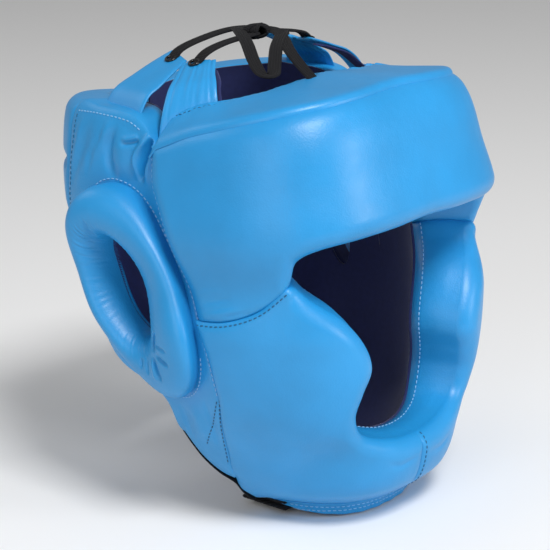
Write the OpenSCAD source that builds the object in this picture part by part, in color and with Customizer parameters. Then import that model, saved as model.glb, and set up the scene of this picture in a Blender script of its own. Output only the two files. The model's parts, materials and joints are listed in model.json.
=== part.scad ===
// Boxing headgear with cheek and chin guard, open face, padded ear rings, laced crown,
// hook-and-loop closure at the rear and a chin strap.
// Frame: +Z up, the face looks along -Y, the wearer's left is +X. The origin is the middle
// of the head space at the height of the ear canals. Angles run round the head from the
// middle of the face (0) towards the wearer's left; all lengths are millimetres.

/* [Size of the shell] */
// Width of the shell under the ear rings
shell_width = 232; // [220:1:250]
// Depth from brow to rear panels
shell_depth = 249; // [235:1:265]

/* [Layers] */
// Thickness of the outer leather
leather = 1.6; // [1.2:0.1:2.4]
// Thickness of the inner lining
lining = 1.4; // [1:0.1:2]
// How much the open edges of a pad are rounded back
edge_round = 9; // [4:1:12]

/* [Ear rings] */
// Half the length of the ring along its long axis
ring_long = 66; // [60:1:70]
// Half the width of the ring across its short axis
ring_short = 32; // [30:1:36]
// Half the length of the hole for the ear
hole_long = 31; // [24:1:34]
// Half the width of the hole for the ear
hole_short = 12.6; // [9:0.2:14]
// Height that the ring stands above the side panel
ring_height = 18; // [14:1:20]
// Angle that the top of the ring leans to the rear
ring_lean = 25; // [10:1:30]

/* [Straps] */
// Width of the rear closing strap
rear_strap_w = 46; // [36:1:50]
// Width of the chin strap
chin_strap_w = 34; // [26:1:36]
// Thickness of the webbing
web = 1.9; // [1.4:0.1:2.2]
// Thickness of a crown strap
crown_strap_t = 3; // [2:0.2:4]
// Width of the flat lace at the crown
lace_w = 7; // [5:0.5:9]

/* [Hidden] */

blue = "#48a4e4";
navy = "#26357c";
black = "#1b1b1f";
foam_grey = "#9aa0a8";

// The shell was drawn at 232 by 249; other sizes stretch it
x_scale = shell_width / 232;
y_scale = shell_depth / 249;

// Outer shell, one row for each height:
// height, half width, front, back, squareness of the front half, squareness of the back half
outer = [
    [-138, 62, 108, 10, 2.6, 2.2], [-120, 78, 124, 12, 2.6, 2.2], [-95, 90, 130, 26, 2.6, 2.2],
    [-60, 104, 134, 60, 2.9, 2.3], [-20, 112, 134, 84, 3.0, 2.4], [10, 110, 132, 98, 3.0, 2.4],
    [40, 112, 139, 106, 3.4, 2.5], [75, 106, 129, 110, 3.5, 2.6], [100, 100, 122, 108, 3.5, 2.6],
    [118, 88, 112, 96, 3.5, 2.6], [130, 78, 100, 86, 3.5, 2.6]];
// Head space, one row for each height: height, half width, front, back, squareness twice
inner = [
    [-140, 42, 80, 2, 2.4, 2.2], [-120, 50, 90, 4, 2.4, 2.2], [-95, 60, 97, 12, 2.4, 2.2],
    [-60, 72, 99, 42, 2.4, 2.2], [-20, 80, 98, 67, 2.4, 2.2], [20, 82, 96, 82, 2.4, 2.2],
    [60, 82, 94, 90, 2.4, 2.2], [90, 78, 76, 91, 2.4, 2.2], [110, 68, 55, 86, 2.4, 2.2],
    [122, 56, 46, 72, 2.4, 2.2], [132, 46, 36, 62, 2.4, 2.2]];

// --- curves -----------------------------------------------------------------

// Smooth value of column k of a table of rows at height z
function row_at(z, rows, i = 0) =
    i >= len(rows) - 2 || z < rows[i + 1][0] ? i : row_at(z, rows, i + 1);
function slope_at(rows, k, i) =
    let (a = max(i - 1, 0), b = min(i + 1, len(rows) - 1))
    (rows[b][k] - rows[a][k]) / (rows[b][0] - rows[a][0]);
function hermite(p, q, m, n, u) =
    p * (2 * u ^ 3 - 3 * u ^ 2 + 1) + m * (u ^ 3 - 2 * u ^ 2 + u)
    + q * (3 * u ^ 2 - 2 * u ^ 3) + n * (u ^ 3 - u ^ 2);
function smooth(z, rows, k) =
    let (i = row_at(z, rows), h = rows[i + 1][0] - rows[i][0],
        u = min(max((z - rows[i][0]) / h, 0), 1))
    hermite(rows[i][k], rows[i + 1][k], h * slope_at(rows, k, i), h * slope_at(rows, k, i + 1), u);

// Smooth curve through a list of points, u from 0 to 1
function along(pts, u) =
    let (n = len(pts) - 1, i = min(floor(u * n), n - 1), t = u * n - i,
        a = pts[max(i - 1, 0)], b = pts[i], c = pts[i + 1], d = pts[min(i + 2, n)])
    hermite(b, c, (c - a) / 2, (d - b) / 2, t);

// Distance from the upright axis to the shell or to the head space
function radius(angle, z, rows) =
    let (half = smooth(z, rows, 1), front = cos(angle) > 0,
        deep = smooth(z, rows, front ? 2 : 3), n = smooth(z, rows, front ? 4 : 5))
    (pow(abs(sin(angle)) / half, n) + pow(abs(cos(angle)) / deep, n)) ^ (-1 / n);

// The side panels dip where the ear rings sit
ear_angle = -93.4;
ear_height = 2;
ear_dip = 17;
// The dip fades out towards the jaw
function dip(angle, z) = ear_dip * min(max((z + 105) / 45, 0), 1)
    * exp(-pow((-abs(angle) + 88) / 19, 2) - pow((z - ear_height) / 84, 2));

// A point of the shell: base 0 is the head space, 1 the outer shell, 2 the dipped side panel
function shell_radius(angle, z, base) =
    base == 0 ? radius(angle, z, inner)
    : radius(angle, z, outer) - (base == 2 ? dip(angle, z) : 0);
// The inner top edge of the forehead pad stands above its welt at the temples
function temple_lift(angle) = 17 * pow(sin(angle), 4) - 2;
function place(angle, z, r) = [x_scale * r * sin(angle), -y_scale * r * cos(angle), z];

// --- sheets between two layers ------------------------------------------------

// Closed solid between two grids of points of the same size
module between(low, high, closed = false) {
    rows = len(low);
    cols = len(low[0]);
    size = rows * cols;
    last = closed ? cols - 1 : cols - 2;
    points = concat([for (row = low, p = row) p], [for (row = high, p = row) p]);
    function at(i, j) = i * cols + j % cols;
    faces = concat(
        [for (i = [0 : rows - 2], j = [0 : last]) [at(i, j), at(i, j + 1), at(i + 1, j + 1)]],
        [for (i = [0 : rows - 2], j = [0 : last]) [at(i, j), at(i + 1, j + 1), at(i + 1, j)]],
        [for (i = [0 : rows - 2], j = [0 : last])
            [size + at(i, j), size + at(i + 1, j + 1), size + at(i, j + 1)]],
        [for (i = [0 : rows - 2], j = [0 : last])
            [size + at(i, j), size + at(i + 1, j), size + at(i + 1, j + 1)]],
        [for (j = [0 : last]) [at(0, j), size + at(0, j), size + at(0, j + 1)]],
        [for (j = [0 : last]) [at(0, j), size + at(0, j + 1), at(0, j + 1)]],
        [for (j = [0 : last]) [at(rows - 1, j), size + at(rows - 1, j + 1), size + at(rows - 1, j)]],
        [for (j = [0 : last]) [at(rows - 1, j), at(rows - 1, j + 1), size + at(rows - 1, j + 1)]],
        closed ? [] : [for (i = [0 : rows - 2]) [at(i, 0), size + at(i + 1, 0), size + at(i, 0)]],
        closed ? [] : [for (i = [0 : rows - 2]) [at(i, 0), at(i + 1, 0), size + at(i + 1, 0)]],
        closed ? [] : [for (i = [0 : rows - 2])
            [at(i, cols - 1), size + at(i, cols - 1), size + at(i + 1, cols - 1)]],
        closed ? [] : [for (i = [0 : rows - 2])
            [at(i, cols - 1), size + at(i + 1, cols - 1), at(i + 1, cols - 1)]]);
    polyhedron(points, faces, convexity = 8);
}

// Grid of [angle, height] inside four edge curves; steps are finer near the edges
function even_edge(i, n) = 0.5 - 0.5 * cos(180 * i / n);
function coons(bottom, top, left, right, u, v) =
    (1 - v) * along(bottom, u) + v * along(top, u) + (1 - u) * along(left, v)
    + u * along(right, v) - (1 - u) * (1 - v) * bottom[0] - u * (1 - v) * bottom[len(bottom) - 1]
    - (1 - u) * v * top[0] - u * v * top[len(top) - 1];
function patch(bottom, top, left, right, nu, nv) =
    [for (j = [0 : nv]) [for (i = [0 : nu])
        coons(bottom, top, left, right, i / nu, even_edge(j, nv))]];

// Distance of the outer layer below the shell near the rounded edges of a pad:
// soft holds 1 for each rounded edge, as bottom, top, left, right
function near(x) = x < 0.14 ? pow(1 - x / 0.14, 2) : 0;
function rounding(i, j, nu, nv, soft) = edge_round * min(1, max(
    soft[0] * near(j / nv), soft[1] * near(1 - j / nv),
    soft[2] * near(i / nu), soft[3] * near(1 - i / nu)));

// The three layers of a pad over a grid of [angle, height]
module layer(grid, part, base = 1, soft = [0, 0, 0, 0], closed = false, lift = 0) {
    nv = len(grid) - 1;
    nu = len(grid[0]) - (closed ? 0 : 1);
    function skin(i, j, d) = place(grid[j][i][0], grid[j][i][1],
        shell_radius(grid[j][i][0], grid[j][i][1], base) - rounding(i, j, nu, nv, soft) - d);
    function bed(i, j, d) = place(grid[j][i][0],
        grid[j][i][1] + lift * temple_lift(grid[j][i][0]) * pow(j / nv, 3),
        shell_radius(grid[j][i][0], grid[j][i][1], 0) + d);
    last = len(grid[0]) - 1;
    top = [for (j = [0 : nv]) [for (i = [0 : last]) skin(i, j, 0)]];
    under = [for (j = [0 : nv]) [for (i = [0 : last]) skin(i, j, leather)]];
    above = [for (j = [0 : nv]) [for (i = [0 : last]) bed(i, j, lining)]];
    floor_grid = [for (j = [0 : nv]) [for (i = [0 : last]) bed(i, j, 0)]];
    if (part == "cover") between(under, top, closed);
    if (part == "foam") between(above, under, closed);
    if (part == "lining") between(floor_grid, above, closed);
}

// --- outlines of the pads, as [angle, height] for the wearer's right ----------

// Steps round the forehead, shared by its pad and its top panel
forehead_steps = 28;
ear_seam = [[-66, -8], [-69, 9], [-74, 29], [-79, 51], [-83, 67], [-84, 86]];
// The cheek pad keeps a small gap to the pads behind and above it
jaw_seam = [[-58.6, -116], [-59.1, -98], [-59.7, -76], [-59.5, -55], [-61.6, -30], [-65, -9.6]];
eye_corner = [-41, 16];
brow = [[-66, -8], [-57, -6], [-48, 2], eye_corner, [-39, 31], [-33, 38], [-22, 41], [-11, 42],
    [0, 43], [11, 42], [22, 41], [33, 38], [39, 31], [41, 16], [48, 2], [57, -6], [66, -8]];
welt = [[-84, 86], [-77, 91], [-69, 97], [-60, 102], [-50, 107], [-38, 112], [-26, 115],
    [-13, 117], [0, 118], [13, 117], [26, 115], [38, 112], [50, 107], [60, 102], [69, 97],
    [77, 91], [84, 86]];
cheek_top = [[-65, -9.6], [-56.6, -7.6], [-47.4, 0.3], [-40.2, 14.8], [-35, 6], [-27, -7], [-21, -24],
    [-19, -39], [-22, -54], [-24, -68], [-20, -82], [-9, -90], [0, -92]];
cheek_bottom = [[-58.6, -116], [-57.6, -126], [-54, -132], [-50, -134], [-47, -134], [-44, -134],
    [-41.5, -134], [-39.5, -134], [-38, -134], [-36, -134], [-28, -134], [-14, -134], [0, -134]];
chin_seam = [[0, -134], [0, -113], [0, -92]];
// The side panel keeps the same gap to the forehead pad
side_outline = [[-66.9, -9], [-62.8, -30], [-60.6, -55], [-60.8, -76], [-60.2, -98], [-59.7, -116],
    [-67, -113], [-74, -103], [-80.5, -88], [-85, -71], [-95, -61], [-110, -53], [-124, -46],
    [-124, -16], [-124, 14], [-124, 44], [-124, 74], [-124, 103], [-111, 104.5], [-97, 103],
    [-89.5, 97.5], [-85, 86], [-83.9, 67], [-80, 51], [-75, 29], [-70, 9]];
// Half of the slit between the rear panels, as an angle
rear_gap = 1.2;
rear_front_angle = 124.6;
rear_bottom = [[rear_front_angle, -45], [150, -42], [180 - rear_gap, -40]];
rear_top = [[rear_front_angle, 104], [150, 100], [180 - rear_gap, 92]];
rear_left = [[rear_front_angle, -45], [rear_front_angle, 30], [rear_front_angle, 104]];
rear_right = [[180 - rear_gap, -40], [180 - rear_gap, 26], [180 - rear_gap, 92]];

forehead_grid = patch(brow, welt, ear_seam, [for (p = ear_seam) [-p[0], p[1]]], forehead_steps, 8);
cheek_grid = patch(cheek_bottom, cheek_top, jaw_seam, chin_seam, 20, 8);
rear_grid = patch(rear_bottom, rear_top, rear_left, rear_right, 7, 8);

// Side panel: rings of points from the ear hole out to the outline

function hole_point(p) =
    let (dy = 1.75 * (ear_angle - p[0]), dz = p[1] - ear_height,
        ang = atan2(dz, -dy), local = ang + ring_lean,
        reach = 1 / sqrt(pow(cos(local) / hole_short, 2) + pow(sin(local) / hole_long, 2)))
    [ear_angle + reach * cos(ang) / 1.75, ear_height + reach * sin(ang)];
side_steps = 4;
side_grid = [for (j = [0 : side_steps]) [for (i = [0 : len(side_outline) - 1])
    let (v = j / side_steps, p = side_outline[len(side_outline) - 1 - i])
    (1 - v) * hole_point(p) + v * p]];

// --- ear ring -------------------------------------------------------------------

// Middle of the ring: distance behind the upright axis, and height
ear_y = -2;
ear_z = 1;
// The hole lies towards the upper rear of the ring
hole_shift = [6.8, 4.8];
// The ring stays this far behind the seams of the forehead and cheek pads
seam_margin = 2.5;
ring_seam = concat(jaw_seam, [for (p = ear_seam) if (p[1] > 0) p]);
function seam_angle(z, i = 0) =
    i >= len(ring_seam) - 2 || z < ring_seam[i + 1][1]
    ? let (a = ring_seam[i], b = ring_seam[i + 1]) a[0] + (b[0] - a[0]) * (z - a[1]) / (b[1] - a[1])
    : seam_angle(z, i + 1);
// Clearance between the ring and the facets of the side panel
ring_lift = 1.6;

// A point of the ring: turn is round the hole, roll is over the tube from outside to inside
ring_turns = 30;
function ring_point(turn, roll, inset) =
    let (mid_s = (ring_short + hole_short) / 2, mid_l = (ring_long + hole_long) / 2,
        half_s = (ring_short - hole_short) / 2 - inset, half_l = (ring_long - hole_long) / 2 - inset,
        inward = (1 - cos(roll)) / 2,
        s = (mid_s + half_s * cos(roll)) * cos(turn) + hole_shift[0] * inward,
        l = (mid_l + half_l * cos(roll)) * sin(turn) + hole_shift[1] * inward,
        y = ear_y + s * cos(ring_lean) + l * sin(ring_lean),
        z = ear_z - s * sin(ring_lean) + l * cos(ring_lean),
        angle = min(-90 - asin(y / 104), seam_angle(z) - seam_margin),
        rise = (ring_height - inset) * pow(max(sin(roll), 0), 0.6))
    place(angle, z, shell_radius(angle, z, 2) + ring_lift + rise);
module ring(part) {
    roll_steps = 6;
    function over(inset) = [for (k = [0 : roll_steps]) [for (t = [0 : ring_turns - 1])
        ring_point(t * 360 / ring_turns, 180 * k / roll_steps, inset)]];
    function bed(inset) = [for (k = [0 : roll_steps]) [for (t = [0 : ring_turns - 1])
        let (a = ring_point(t * 360 / ring_turns, 0, inset),
            b = ring_point(t * 360 / ring_turns, 180, inset))
        a + (b - a) * k / roll_steps]];
    if (part == "cover") between(over(0), over(leather), true);
    if (part == "foam") between(over(leather + 0.05), bed(leather + 0.05), true);
}

// --- straps ---------------------------------------------------------------------

// Height of the crown straps over the head
crown_z = 133;
function crown(x, y) = crown_z - 0.0037 * x * x - 0.0022 * (y - 8) * (y - 8);
module crown_strap(edge_a, edge_b, t) {
    function grid(d) = [for (v = [0, 1]) [for (u = [0 : 0.2 : 1])
        let (p = along(v == 0 ? edge_a : edge_b, u)) [p[0], p[1], crown(p[0], p[1]) + d]]];
    between(grid(0), grid(t));
}

// A band lying round the rear at a constant distance from the shell
band_step = 3;
band_rows = 4;
module rear_band(from_angle, to_angle, low, high, near_d, far_d) {
    steps = ceil((to_angle - from_angle) / band_step);
    function grid(d) = [for (k = [0 : band_rows]) [for (i = [0 : steps])
        let (angle = from_angle + (to_angle - from_angle) * i / steps,
            z = low + (high - low) * k / band_rows)
        place(angle, z, shell_radius(angle, z, 1) + d)]];
    between(grid(near_d), grid(far_d));
}
rear_strap_z = 6;
rear_low = rear_strap_z - rear_strap_w / 2;
rear_high = rear_strap_z + rear_strap_w / 2;
patch_margin = 3;

chin_z = -141;
chin_y = -46;
chin_end_x = 52;

// --- the sub-parts ----------------------------------------------------------------

module on_side(left) {
    if (left) mirror([1, 0, 0]) children();
    else children();
}

module forehead(part) { layer(forehead_grid, part, 1, [1, 0, 0, 0], false, 1); }
module forehead_cover() { color(blue) forehead("cover"); }
module forehead_foam() { color(foam_grey) forehead("foam"); }
module forehead_lining() { color(navy) forehead("lining"); }

// Leather over the top of the forehead pad, from the welt to the stitched inner edge
top_gap = 0.9;
module forehead_top_panel() {
    function row(d) = [for (v = [0 : 0.5 : 1]) [for (i = [0 : forehead_steps])
        let (p = along(welt, i / forehead_steps), r_out = shell_radius(p[0], p[1], 1) - 0.5,
            r_in = shell_radius(p[0], p[1], 0) + 1, r = r_out + (r_in - r_out) * v)
        place(p[0], p[1] + d + v * temple_lift(p[0]), r)]];
    color(blue) between(row(top_gap), row(leather + top_gap));
}

module cheek(part, left) { on_side(left) layer(cheek_grid, part, 1, [1, 1, 0, 0]); }
module cheek_cover_right() { color(blue) cheek("cover", false); }
module cheek_foam_right() { color(foam_grey) cheek("foam", false); }
module cheek_lining_right() { color(navy) cheek("lining", false); }
module cheek_cover_left() { color(blue) cheek("cover", true); }
module cheek_foam_left() { color(foam_grey) cheek("foam", true); }
module cheek_lining_left() { color(navy) cheek("lining", true); }

module side(part, left) { on_side(left) layer(side_grid, part, 2, [0, 0, 0, 0], true); }
module side_cover_right() { color(blue) side("cover", false); }
module side_foam_right() { color(foam_grey) side("foam", false); }
module side_lining_right() { color(navy) side("lining", false); }
module side_cover_left() { color(blue) side("cover", true); }
module side_foam_left() { color(foam_grey) side("foam", true); }
module side_lining_left() { color(navy) side("lining", true); }

module ear_ring_cover_right() { color(blue) ring("cover"); }
module ear_ring_foam_right() { color(foam_grey) ring("foam"); }
module ear_ring_cover_left() { color(blue) on_side(true) ring("cover"); }
module ear_ring_foam_left() { color(foam_grey) on_side(true) ring("foam"); }

// The rear panels are drawn for the wearer's left
module rear(part, left) { on_side(!left) layer(rear_grid, part, 1, [0, 0, 0, 0]); }
module rear_cover_right() { color(blue) rear("cover", false); }
module rear_foam_right() { color(foam_grey) rear("foam", false); }
module rear_lining_right() { color(navy) rear("lining", false); }
module rear_cover_left() { color(blue) rear("cover", true); }
module rear_foam_left() { color(foam_grey) rear("foam", true); }
module rear_lining_left() { color(navy) rear("lining", true); }

// Loop side on the right panel, hook side under the strap's free end
module rear_loop_patch() {
    color(black) rear_band(186, 222, rear_low + patch_margin, rear_high - patch_margin, 0.4, 1.4);
}
module rear_hook_patch() {
    color(black) rear_band(194, 216, rear_low + patch_margin, rear_high - patch_margin, 1.8, 2.9);
}
rear_strap_lift = 3.1;
module rear_strap() {
    color(black)
        rear_band(164.4, 218, rear_low, rear_high, rear_strap_lift, rear_strap_lift + web);
}
module rear_strap_end() { color(black) rear_band(150, 164, rear_low, rear_high, 0.4, rear_strap_lift + web); }

// Edges of the crown straps from the pads inwards, as [x, y] on the wearer's right
rear_edge_low = [[-81, 41.5], [-76.4, 39.6], [-66, 35.4], [-54, 31.9], [-40, 28.7]];
rear_edge_high = [[-85.5, 8.8], [-80, 8], [-73.6, 7.2], [-63, 7.5], [-50, 8.4]];
front_edge_left = [[-85.5, -7.3], [-76.4, -3.5], [-68, 0], [-60, 3.4], [-51.5, 7]];
front_edge_right = [[-66, -30], [-61, -25], [-54.7, -18.5], [-49.5, -14], [-44.4, -10]];
module crown_rear_strap(left) { on_side(left) crown_strap(rear_edge_high, rear_edge_low, crown_strap_t); }
module crown_front_strap(left) { on_side(left) crown_strap(front_edge_right, front_edge_left, crown_strap_t); }
module crown_rear_strap_right() { color(blue) crown_rear_strap(false); }
module crown_front_strap_right() { color(blue) crown_front_strap(false); }
module crown_rear_strap_left() { color(blue) crown_rear_strap(true); }
module crown_front_strap_left() { color(blue) crown_front_strap(true); }

// Eyelets near the inner edges of the crown straps, and the lace that joins them
eyelet_at = [[-52, -1], [-51, 19]];
eyelet_r = 4.2;
eyelet_bore = 2;
eyelet_tilt = 21;
module crown_eyelets() {
    color(black) for (side = [-1, 1], p = eyelet_at)
        translate([-side * p[0], p[1], crown(p[0], p[1]) + crown_strap_t + 0.2])
            rotate([0, side * eyelet_tilt, 0])
                difference() {
                    cylinder(h = 0.9, r = eyelet_r, $fn = 32);
                    translate([0, 0, -1]) cylinder(h = 3, r = eyelet_bore, $fn = 32);
                }
}

// Flat lace between two points over the crown
lace_lift = 4.6;
module lace_run(a, b, lift) {
    dir = (b - a) / norm(b - a);
    across = [-dir[1], dir[0]] * lace_w / 2;
    function grid(d) = [for (side = [-1, 1]) [for (u = [0 : 0.125 : 1])
        let (p = a + (b - a) * u + side * across) [p[0], p[1], crown(p[0], p[1]) + lift + d]]];
    between(grid(0), grid(1.1));
}
module crown_lace() {
    color(black) {
        lace_run([-51, 19], [51, 19], lace_lift);
        lace_run([-52, -1], [-9, -6], lace_lift);
        lace_run([52, -1], [9, -6], lace_lift);
    }
}
module crown_knot() {
    color(black) translate([0, -6, crown(0, -6) + lace_lift]) hull() {
        translate([-8.6, -4, -1.4]) cube([17.2, 8, 1]);
        translate([-6, -3.4, 0]) cube([12, 6.8, 3.4]);
    }
}

// Flap under the chin, in front of the chin strap
module chin_flap() {
    function row(z, d) = [for (v = [0, 1]) [for (a = [-34 : 4 : 34])
        let (r = shell_radius(a, -134, 1) - d, deep = 12 * (1 - pow(a / 40, 2)) + 2)
        place(a, z, r - v * deep)]];
    color(blue) between(row(-143, 12), row(-134.6, 5));
}

module chin_plate(x0, x1, z0, z1, inset) {
    translate([x0, chin_y - chin_strap_w / 2 + inset, z0])
        cube([x1 - x0, chin_strap_w - 2 * inset, z1 - z0]);
}
// The strap and its tab end short of the jaw on the wearer's right
chin_free_x = -52;
chin_tab_top = -134.8;
module chin_loop_tab() {
    color(black) chin_plate(chin_free_x, -18, chin_tab_top - web, chin_tab_top, 0);
}
module chin_hook_patch() {
    color(black)
        chin_plate(chin_free_x + 3, -24, chin_z + web + 0.05, chin_tab_top - web - 0.5, patch_margin);
}
module chin_strap() { color(black) chin_plate(chin_free_x, chin_end_x - 0.5, chin_z, chin_z + web, 0); }
module chin_strap_end() { color(black) chin_plate(chin_end_x, 62, chin_z, chin_tab_top, 0); }

forehead_cover();
forehead_foam();
forehead_lining();
forehead_top_panel();
cheek_cover_right();
cheek_foam_right();
cheek_lining_right();
cheek_cover_left();
cheek_foam_left();
cheek_lining_left();
side_cover_right();
side_foam_right();
side_lining_right();
side_cover_left();
side_foam_left();
side_lining_left();
ear_ring_cover_right();
ear_ring_foam_right();
ear_ring_cover_left();
ear_ring_foam_left();
rear_cover_right();
rear_foam_right();
rear_lining_right();
rear_cover_left();
rear_foam_left();
rear_lining_left();
rear_loop_patch();
rear_strap_end();
rear_strap();
rear_hook_patch();
crown_rear_strap_right();
crown_front_strap_right();
crown_rear_strap_left();
crown_front_strap_left();
crown_eyelets();
crown_lace();
crown_knot();
chin_flap();
chin_loop_tab();
chin_strap_end();
chin_strap();
chin_hook_patch();
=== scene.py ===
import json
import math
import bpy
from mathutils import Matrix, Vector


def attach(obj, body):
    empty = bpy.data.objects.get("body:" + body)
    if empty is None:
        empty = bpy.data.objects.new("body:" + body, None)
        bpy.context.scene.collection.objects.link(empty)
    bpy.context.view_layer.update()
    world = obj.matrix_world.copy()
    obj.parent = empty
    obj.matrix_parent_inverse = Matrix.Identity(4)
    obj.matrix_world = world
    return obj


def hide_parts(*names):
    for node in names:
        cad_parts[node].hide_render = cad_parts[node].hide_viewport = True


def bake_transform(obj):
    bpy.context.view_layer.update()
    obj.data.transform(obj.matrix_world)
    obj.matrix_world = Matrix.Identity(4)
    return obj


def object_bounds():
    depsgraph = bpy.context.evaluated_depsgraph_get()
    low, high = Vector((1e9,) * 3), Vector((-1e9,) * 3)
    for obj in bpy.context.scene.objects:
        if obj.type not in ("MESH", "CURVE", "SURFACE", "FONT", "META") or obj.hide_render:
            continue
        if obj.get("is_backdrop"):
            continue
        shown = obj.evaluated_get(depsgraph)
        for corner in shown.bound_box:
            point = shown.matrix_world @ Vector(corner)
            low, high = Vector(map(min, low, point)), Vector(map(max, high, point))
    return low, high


bl_info = {
    "name": "Boxing Headgear",
    "version": (1, 0, 0),
    "blender": (4, 5, 0),
    "location": "3D Viewport > Sidebar > Headgear",
    "description": "Leather, lining, straps, lace and stitching of a padded boxing headgear",
    "category": "Object",
}

import bmesh
import bpy
import numpy as np
from mathutils import Quaternion, Vector
from mathutils.bvhtree import BVHTree

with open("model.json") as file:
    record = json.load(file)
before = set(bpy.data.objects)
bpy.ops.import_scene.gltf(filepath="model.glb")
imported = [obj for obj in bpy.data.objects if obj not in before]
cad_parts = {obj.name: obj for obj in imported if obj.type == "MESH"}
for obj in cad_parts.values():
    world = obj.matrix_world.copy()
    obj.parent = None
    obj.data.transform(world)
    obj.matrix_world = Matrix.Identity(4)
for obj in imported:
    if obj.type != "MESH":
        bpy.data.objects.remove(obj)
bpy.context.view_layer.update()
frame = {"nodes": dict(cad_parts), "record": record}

MM = 0.001

# --- the shell's shape ------------------------------------------------------------------
# Angles run round the head from the middle of the face towards the wearer's left, in
# degrees; heights and distances in these tables are millimetres, as in the CAD source.

# Outer shell: height, half width, front, back, squareness of the front and of the back half
OUTER = np.array([
    [-138, 62, 108, 10, 2.6, 2.2], [-120, 78, 124, 12, 2.6, 2.2], [-95, 90, 130, 26, 2.6, 2.2],
    [-60, 104, 134, 60, 2.9, 2.3], [-20, 112, 134, 84, 3.0, 2.4], [10, 110, 132, 98, 3.0, 2.4],
    [40, 112, 139, 106, 3.4, 2.5], [75, 106, 129, 110, 3.5, 2.6], [100, 100, 122, 108, 3.5, 2.6],
    [118, 88, 112, 96, 3.5, 2.6], [130, 78, 100, 86, 3.5, 2.6]], float)
# Head space, in the same columns
INNER = np.array([
    [-140, 42, 80, 2, 2.4, 2.2], [-120, 50, 90, 4, 2.4, 2.2], [-95, 60, 97, 12, 2.4, 2.2],
    [-60, 72, 99, 42, 2.4, 2.2], [-20, 80, 98, 67, 2.4, 2.2], [20, 82, 96, 82, 2.4, 2.2],
    [60, 82, 94, 90, 2.4, 2.2], [90, 78, 76, 91, 2.4, 2.2], [110, 68, 55, 86, 2.4, 2.2],
    [122, 56, 46, 72, 2.4, 2.2], [132, 46, 36, 62, 2.4, 2.2]], float)

# Ear ring: middle behind the upright axis and in height, lean to the rear, half sizes of the ring
# and of its hole, how far the hole lies up and back, and the height of the tube
EAR_Y, EAR_Z, RING_LEAN = -1.7, 0.7, math.radians(24.6)
RING_LONG, RING_SHORT, HOLE_LONG, HOLE_SHORT = 66.3, 32, 31.4, 12.6
HOLE_BACK, HOLE_UP, RING_HEIGHT = 6.85, 4.8, 19.6
# The side panels dip under the rings by this much
EAR_DIP = 17
CROWN_Z = 133


def mirrored(points):
    """The same (angle, height) points on the wearer's left."""
    return [(-a, z) for a, z in points]


# Outlines of the pads for the wearer's right, as (angle, height)
EAR_SEAM = [(-66, -8), (-69, 9), (-74, 29), (-79, 51), (-83, 67), (-84, 86)]
JAW_SEAM = [(-59.5, -116), (-60, -98), (-60.6, -76), (-60.4, -55), (-62.5, -30), (-66, -8)]
BROW = [(-66, -8), (-57, -6), (-48, 2), (-41, 16), (-39, 31), (-33, 38), (-22, 41), (-11, 42), (0, 43)]
BROW += mirrored(BROW[-2::-1])
WELT = [(-84, 86), (-77, 91), (-69, 97), (-60, 102), (-50, 107), (-38, 112), (-26, 115), (-13, 117), (0, 118)]
WELT += mirrored(WELT[-2::-1])
CHEEK_TOP = BROW[:4] + [(-35, 6), (-27, -7), (-21, -24), (-19, -39), (-21.6, -54), (-23.2, -68),
                        (-20, -82), (-9, -90), (0, -92)]
CHEEK_BOTTOM = [(-59.5, -116), (-58.5, -126), (-54, -132)] + [
    (a, -134) for a in (-51.5, -49.7, -48.9, -47.4, -46.4, -41.1, -32.4, -20.2, -10.8, 0)]
CHIN_SEAM = [(0, -134), (0, -113), (0, -92)]
SIDE_OUTLINE = JAW_SEAM[::-1] + [
    (-67, -113), (-74, -103), (-80.5, -88), (-85, -71), (-95, -61), (-110, -53), (-124, -46),
    (-124, -16), (-124, 14), (-124, 44), (-124, 74), (-124, 103), (-111, 104.5), (-97, 103),
    (-89.5, 97.5)] + EAR_SEAM[:0:-1]
SIDE_LOOP = SIDE_OUTLINE + SIDE_OUTLINE[:1]
# The seam in front of the ear, from the jaw to the crown
FRONT_SEAM = np.array(JAW_SEAM[:-1] + EAR_SEAM, float)
REAR_FRONT, REAR_BACK = 124.6, 178.8
REAR_BOTTOM = [(REAR_FRONT, -45), (150, -42), (REAR_BACK, -40)]
REAR_TOP = [(REAR_FRONT, 104), (150, 100), (REAR_BACK, 92)]
REAR_LEFT = [(REAR_FRONT, -45), (REAR_FRONT, 30), (REAR_FRONT, 104)]
REAR_RIGHT = [(REAR_BACK, -40), (REAR_BACK, 26), (REAR_BACK, 92)]

# Each side's name and the sign that turns the wearer's right into it
SIDES = (("right", 1), ("left", -1))
# The side panels are modelled as seen square on, over a round of this radius
SIDE_RADIUS = 104


def eased(t):
    """Smooth step from 0 to 1, flat at both ends."""
    t = np.clip(t, 0, 1)
    return 3 * t**2 - 2 * t**3


def bell(x, width):
    """1 at x = 0, fading to both sides over the width."""
    return np.exp(-((x / width) ** 2))


def hermite(p, q, m, n, u):
    """Cubic from p to q with the slopes m and n."""
    return (p * (2 * u**3 - 3 * u**2 + 1) + m * (u**3 - 2 * u**2 + u)
            + q * (3 * u**2 - 2 * u**3) + n * (u**3 - u**2))


def column(z, rows, k):
    """Smooth value of column k of a table of rows at each height z."""
    z = np.asarray(z, float)
    heights, values = rows[:, 0], rows[:, k]
    last = len(rows) - 1
    i = np.clip(np.searchsorted(heights, z, side="right") - 1, 0, last - 1)
    step = heights[i + 1] - heights[i]
    u = np.clip((z - heights[i]) / step, 0, 1)
    before, after = np.maximum(np.arange(last + 1) - 1, 0), np.minimum(np.arange(last + 1) + 1, last)
    slope = (values[after] - values[before]) / (heights[after] - heights[before])
    return hermite(values[i], values[i + 1], step * slope[i], step * slope[i + 1], u)


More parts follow.
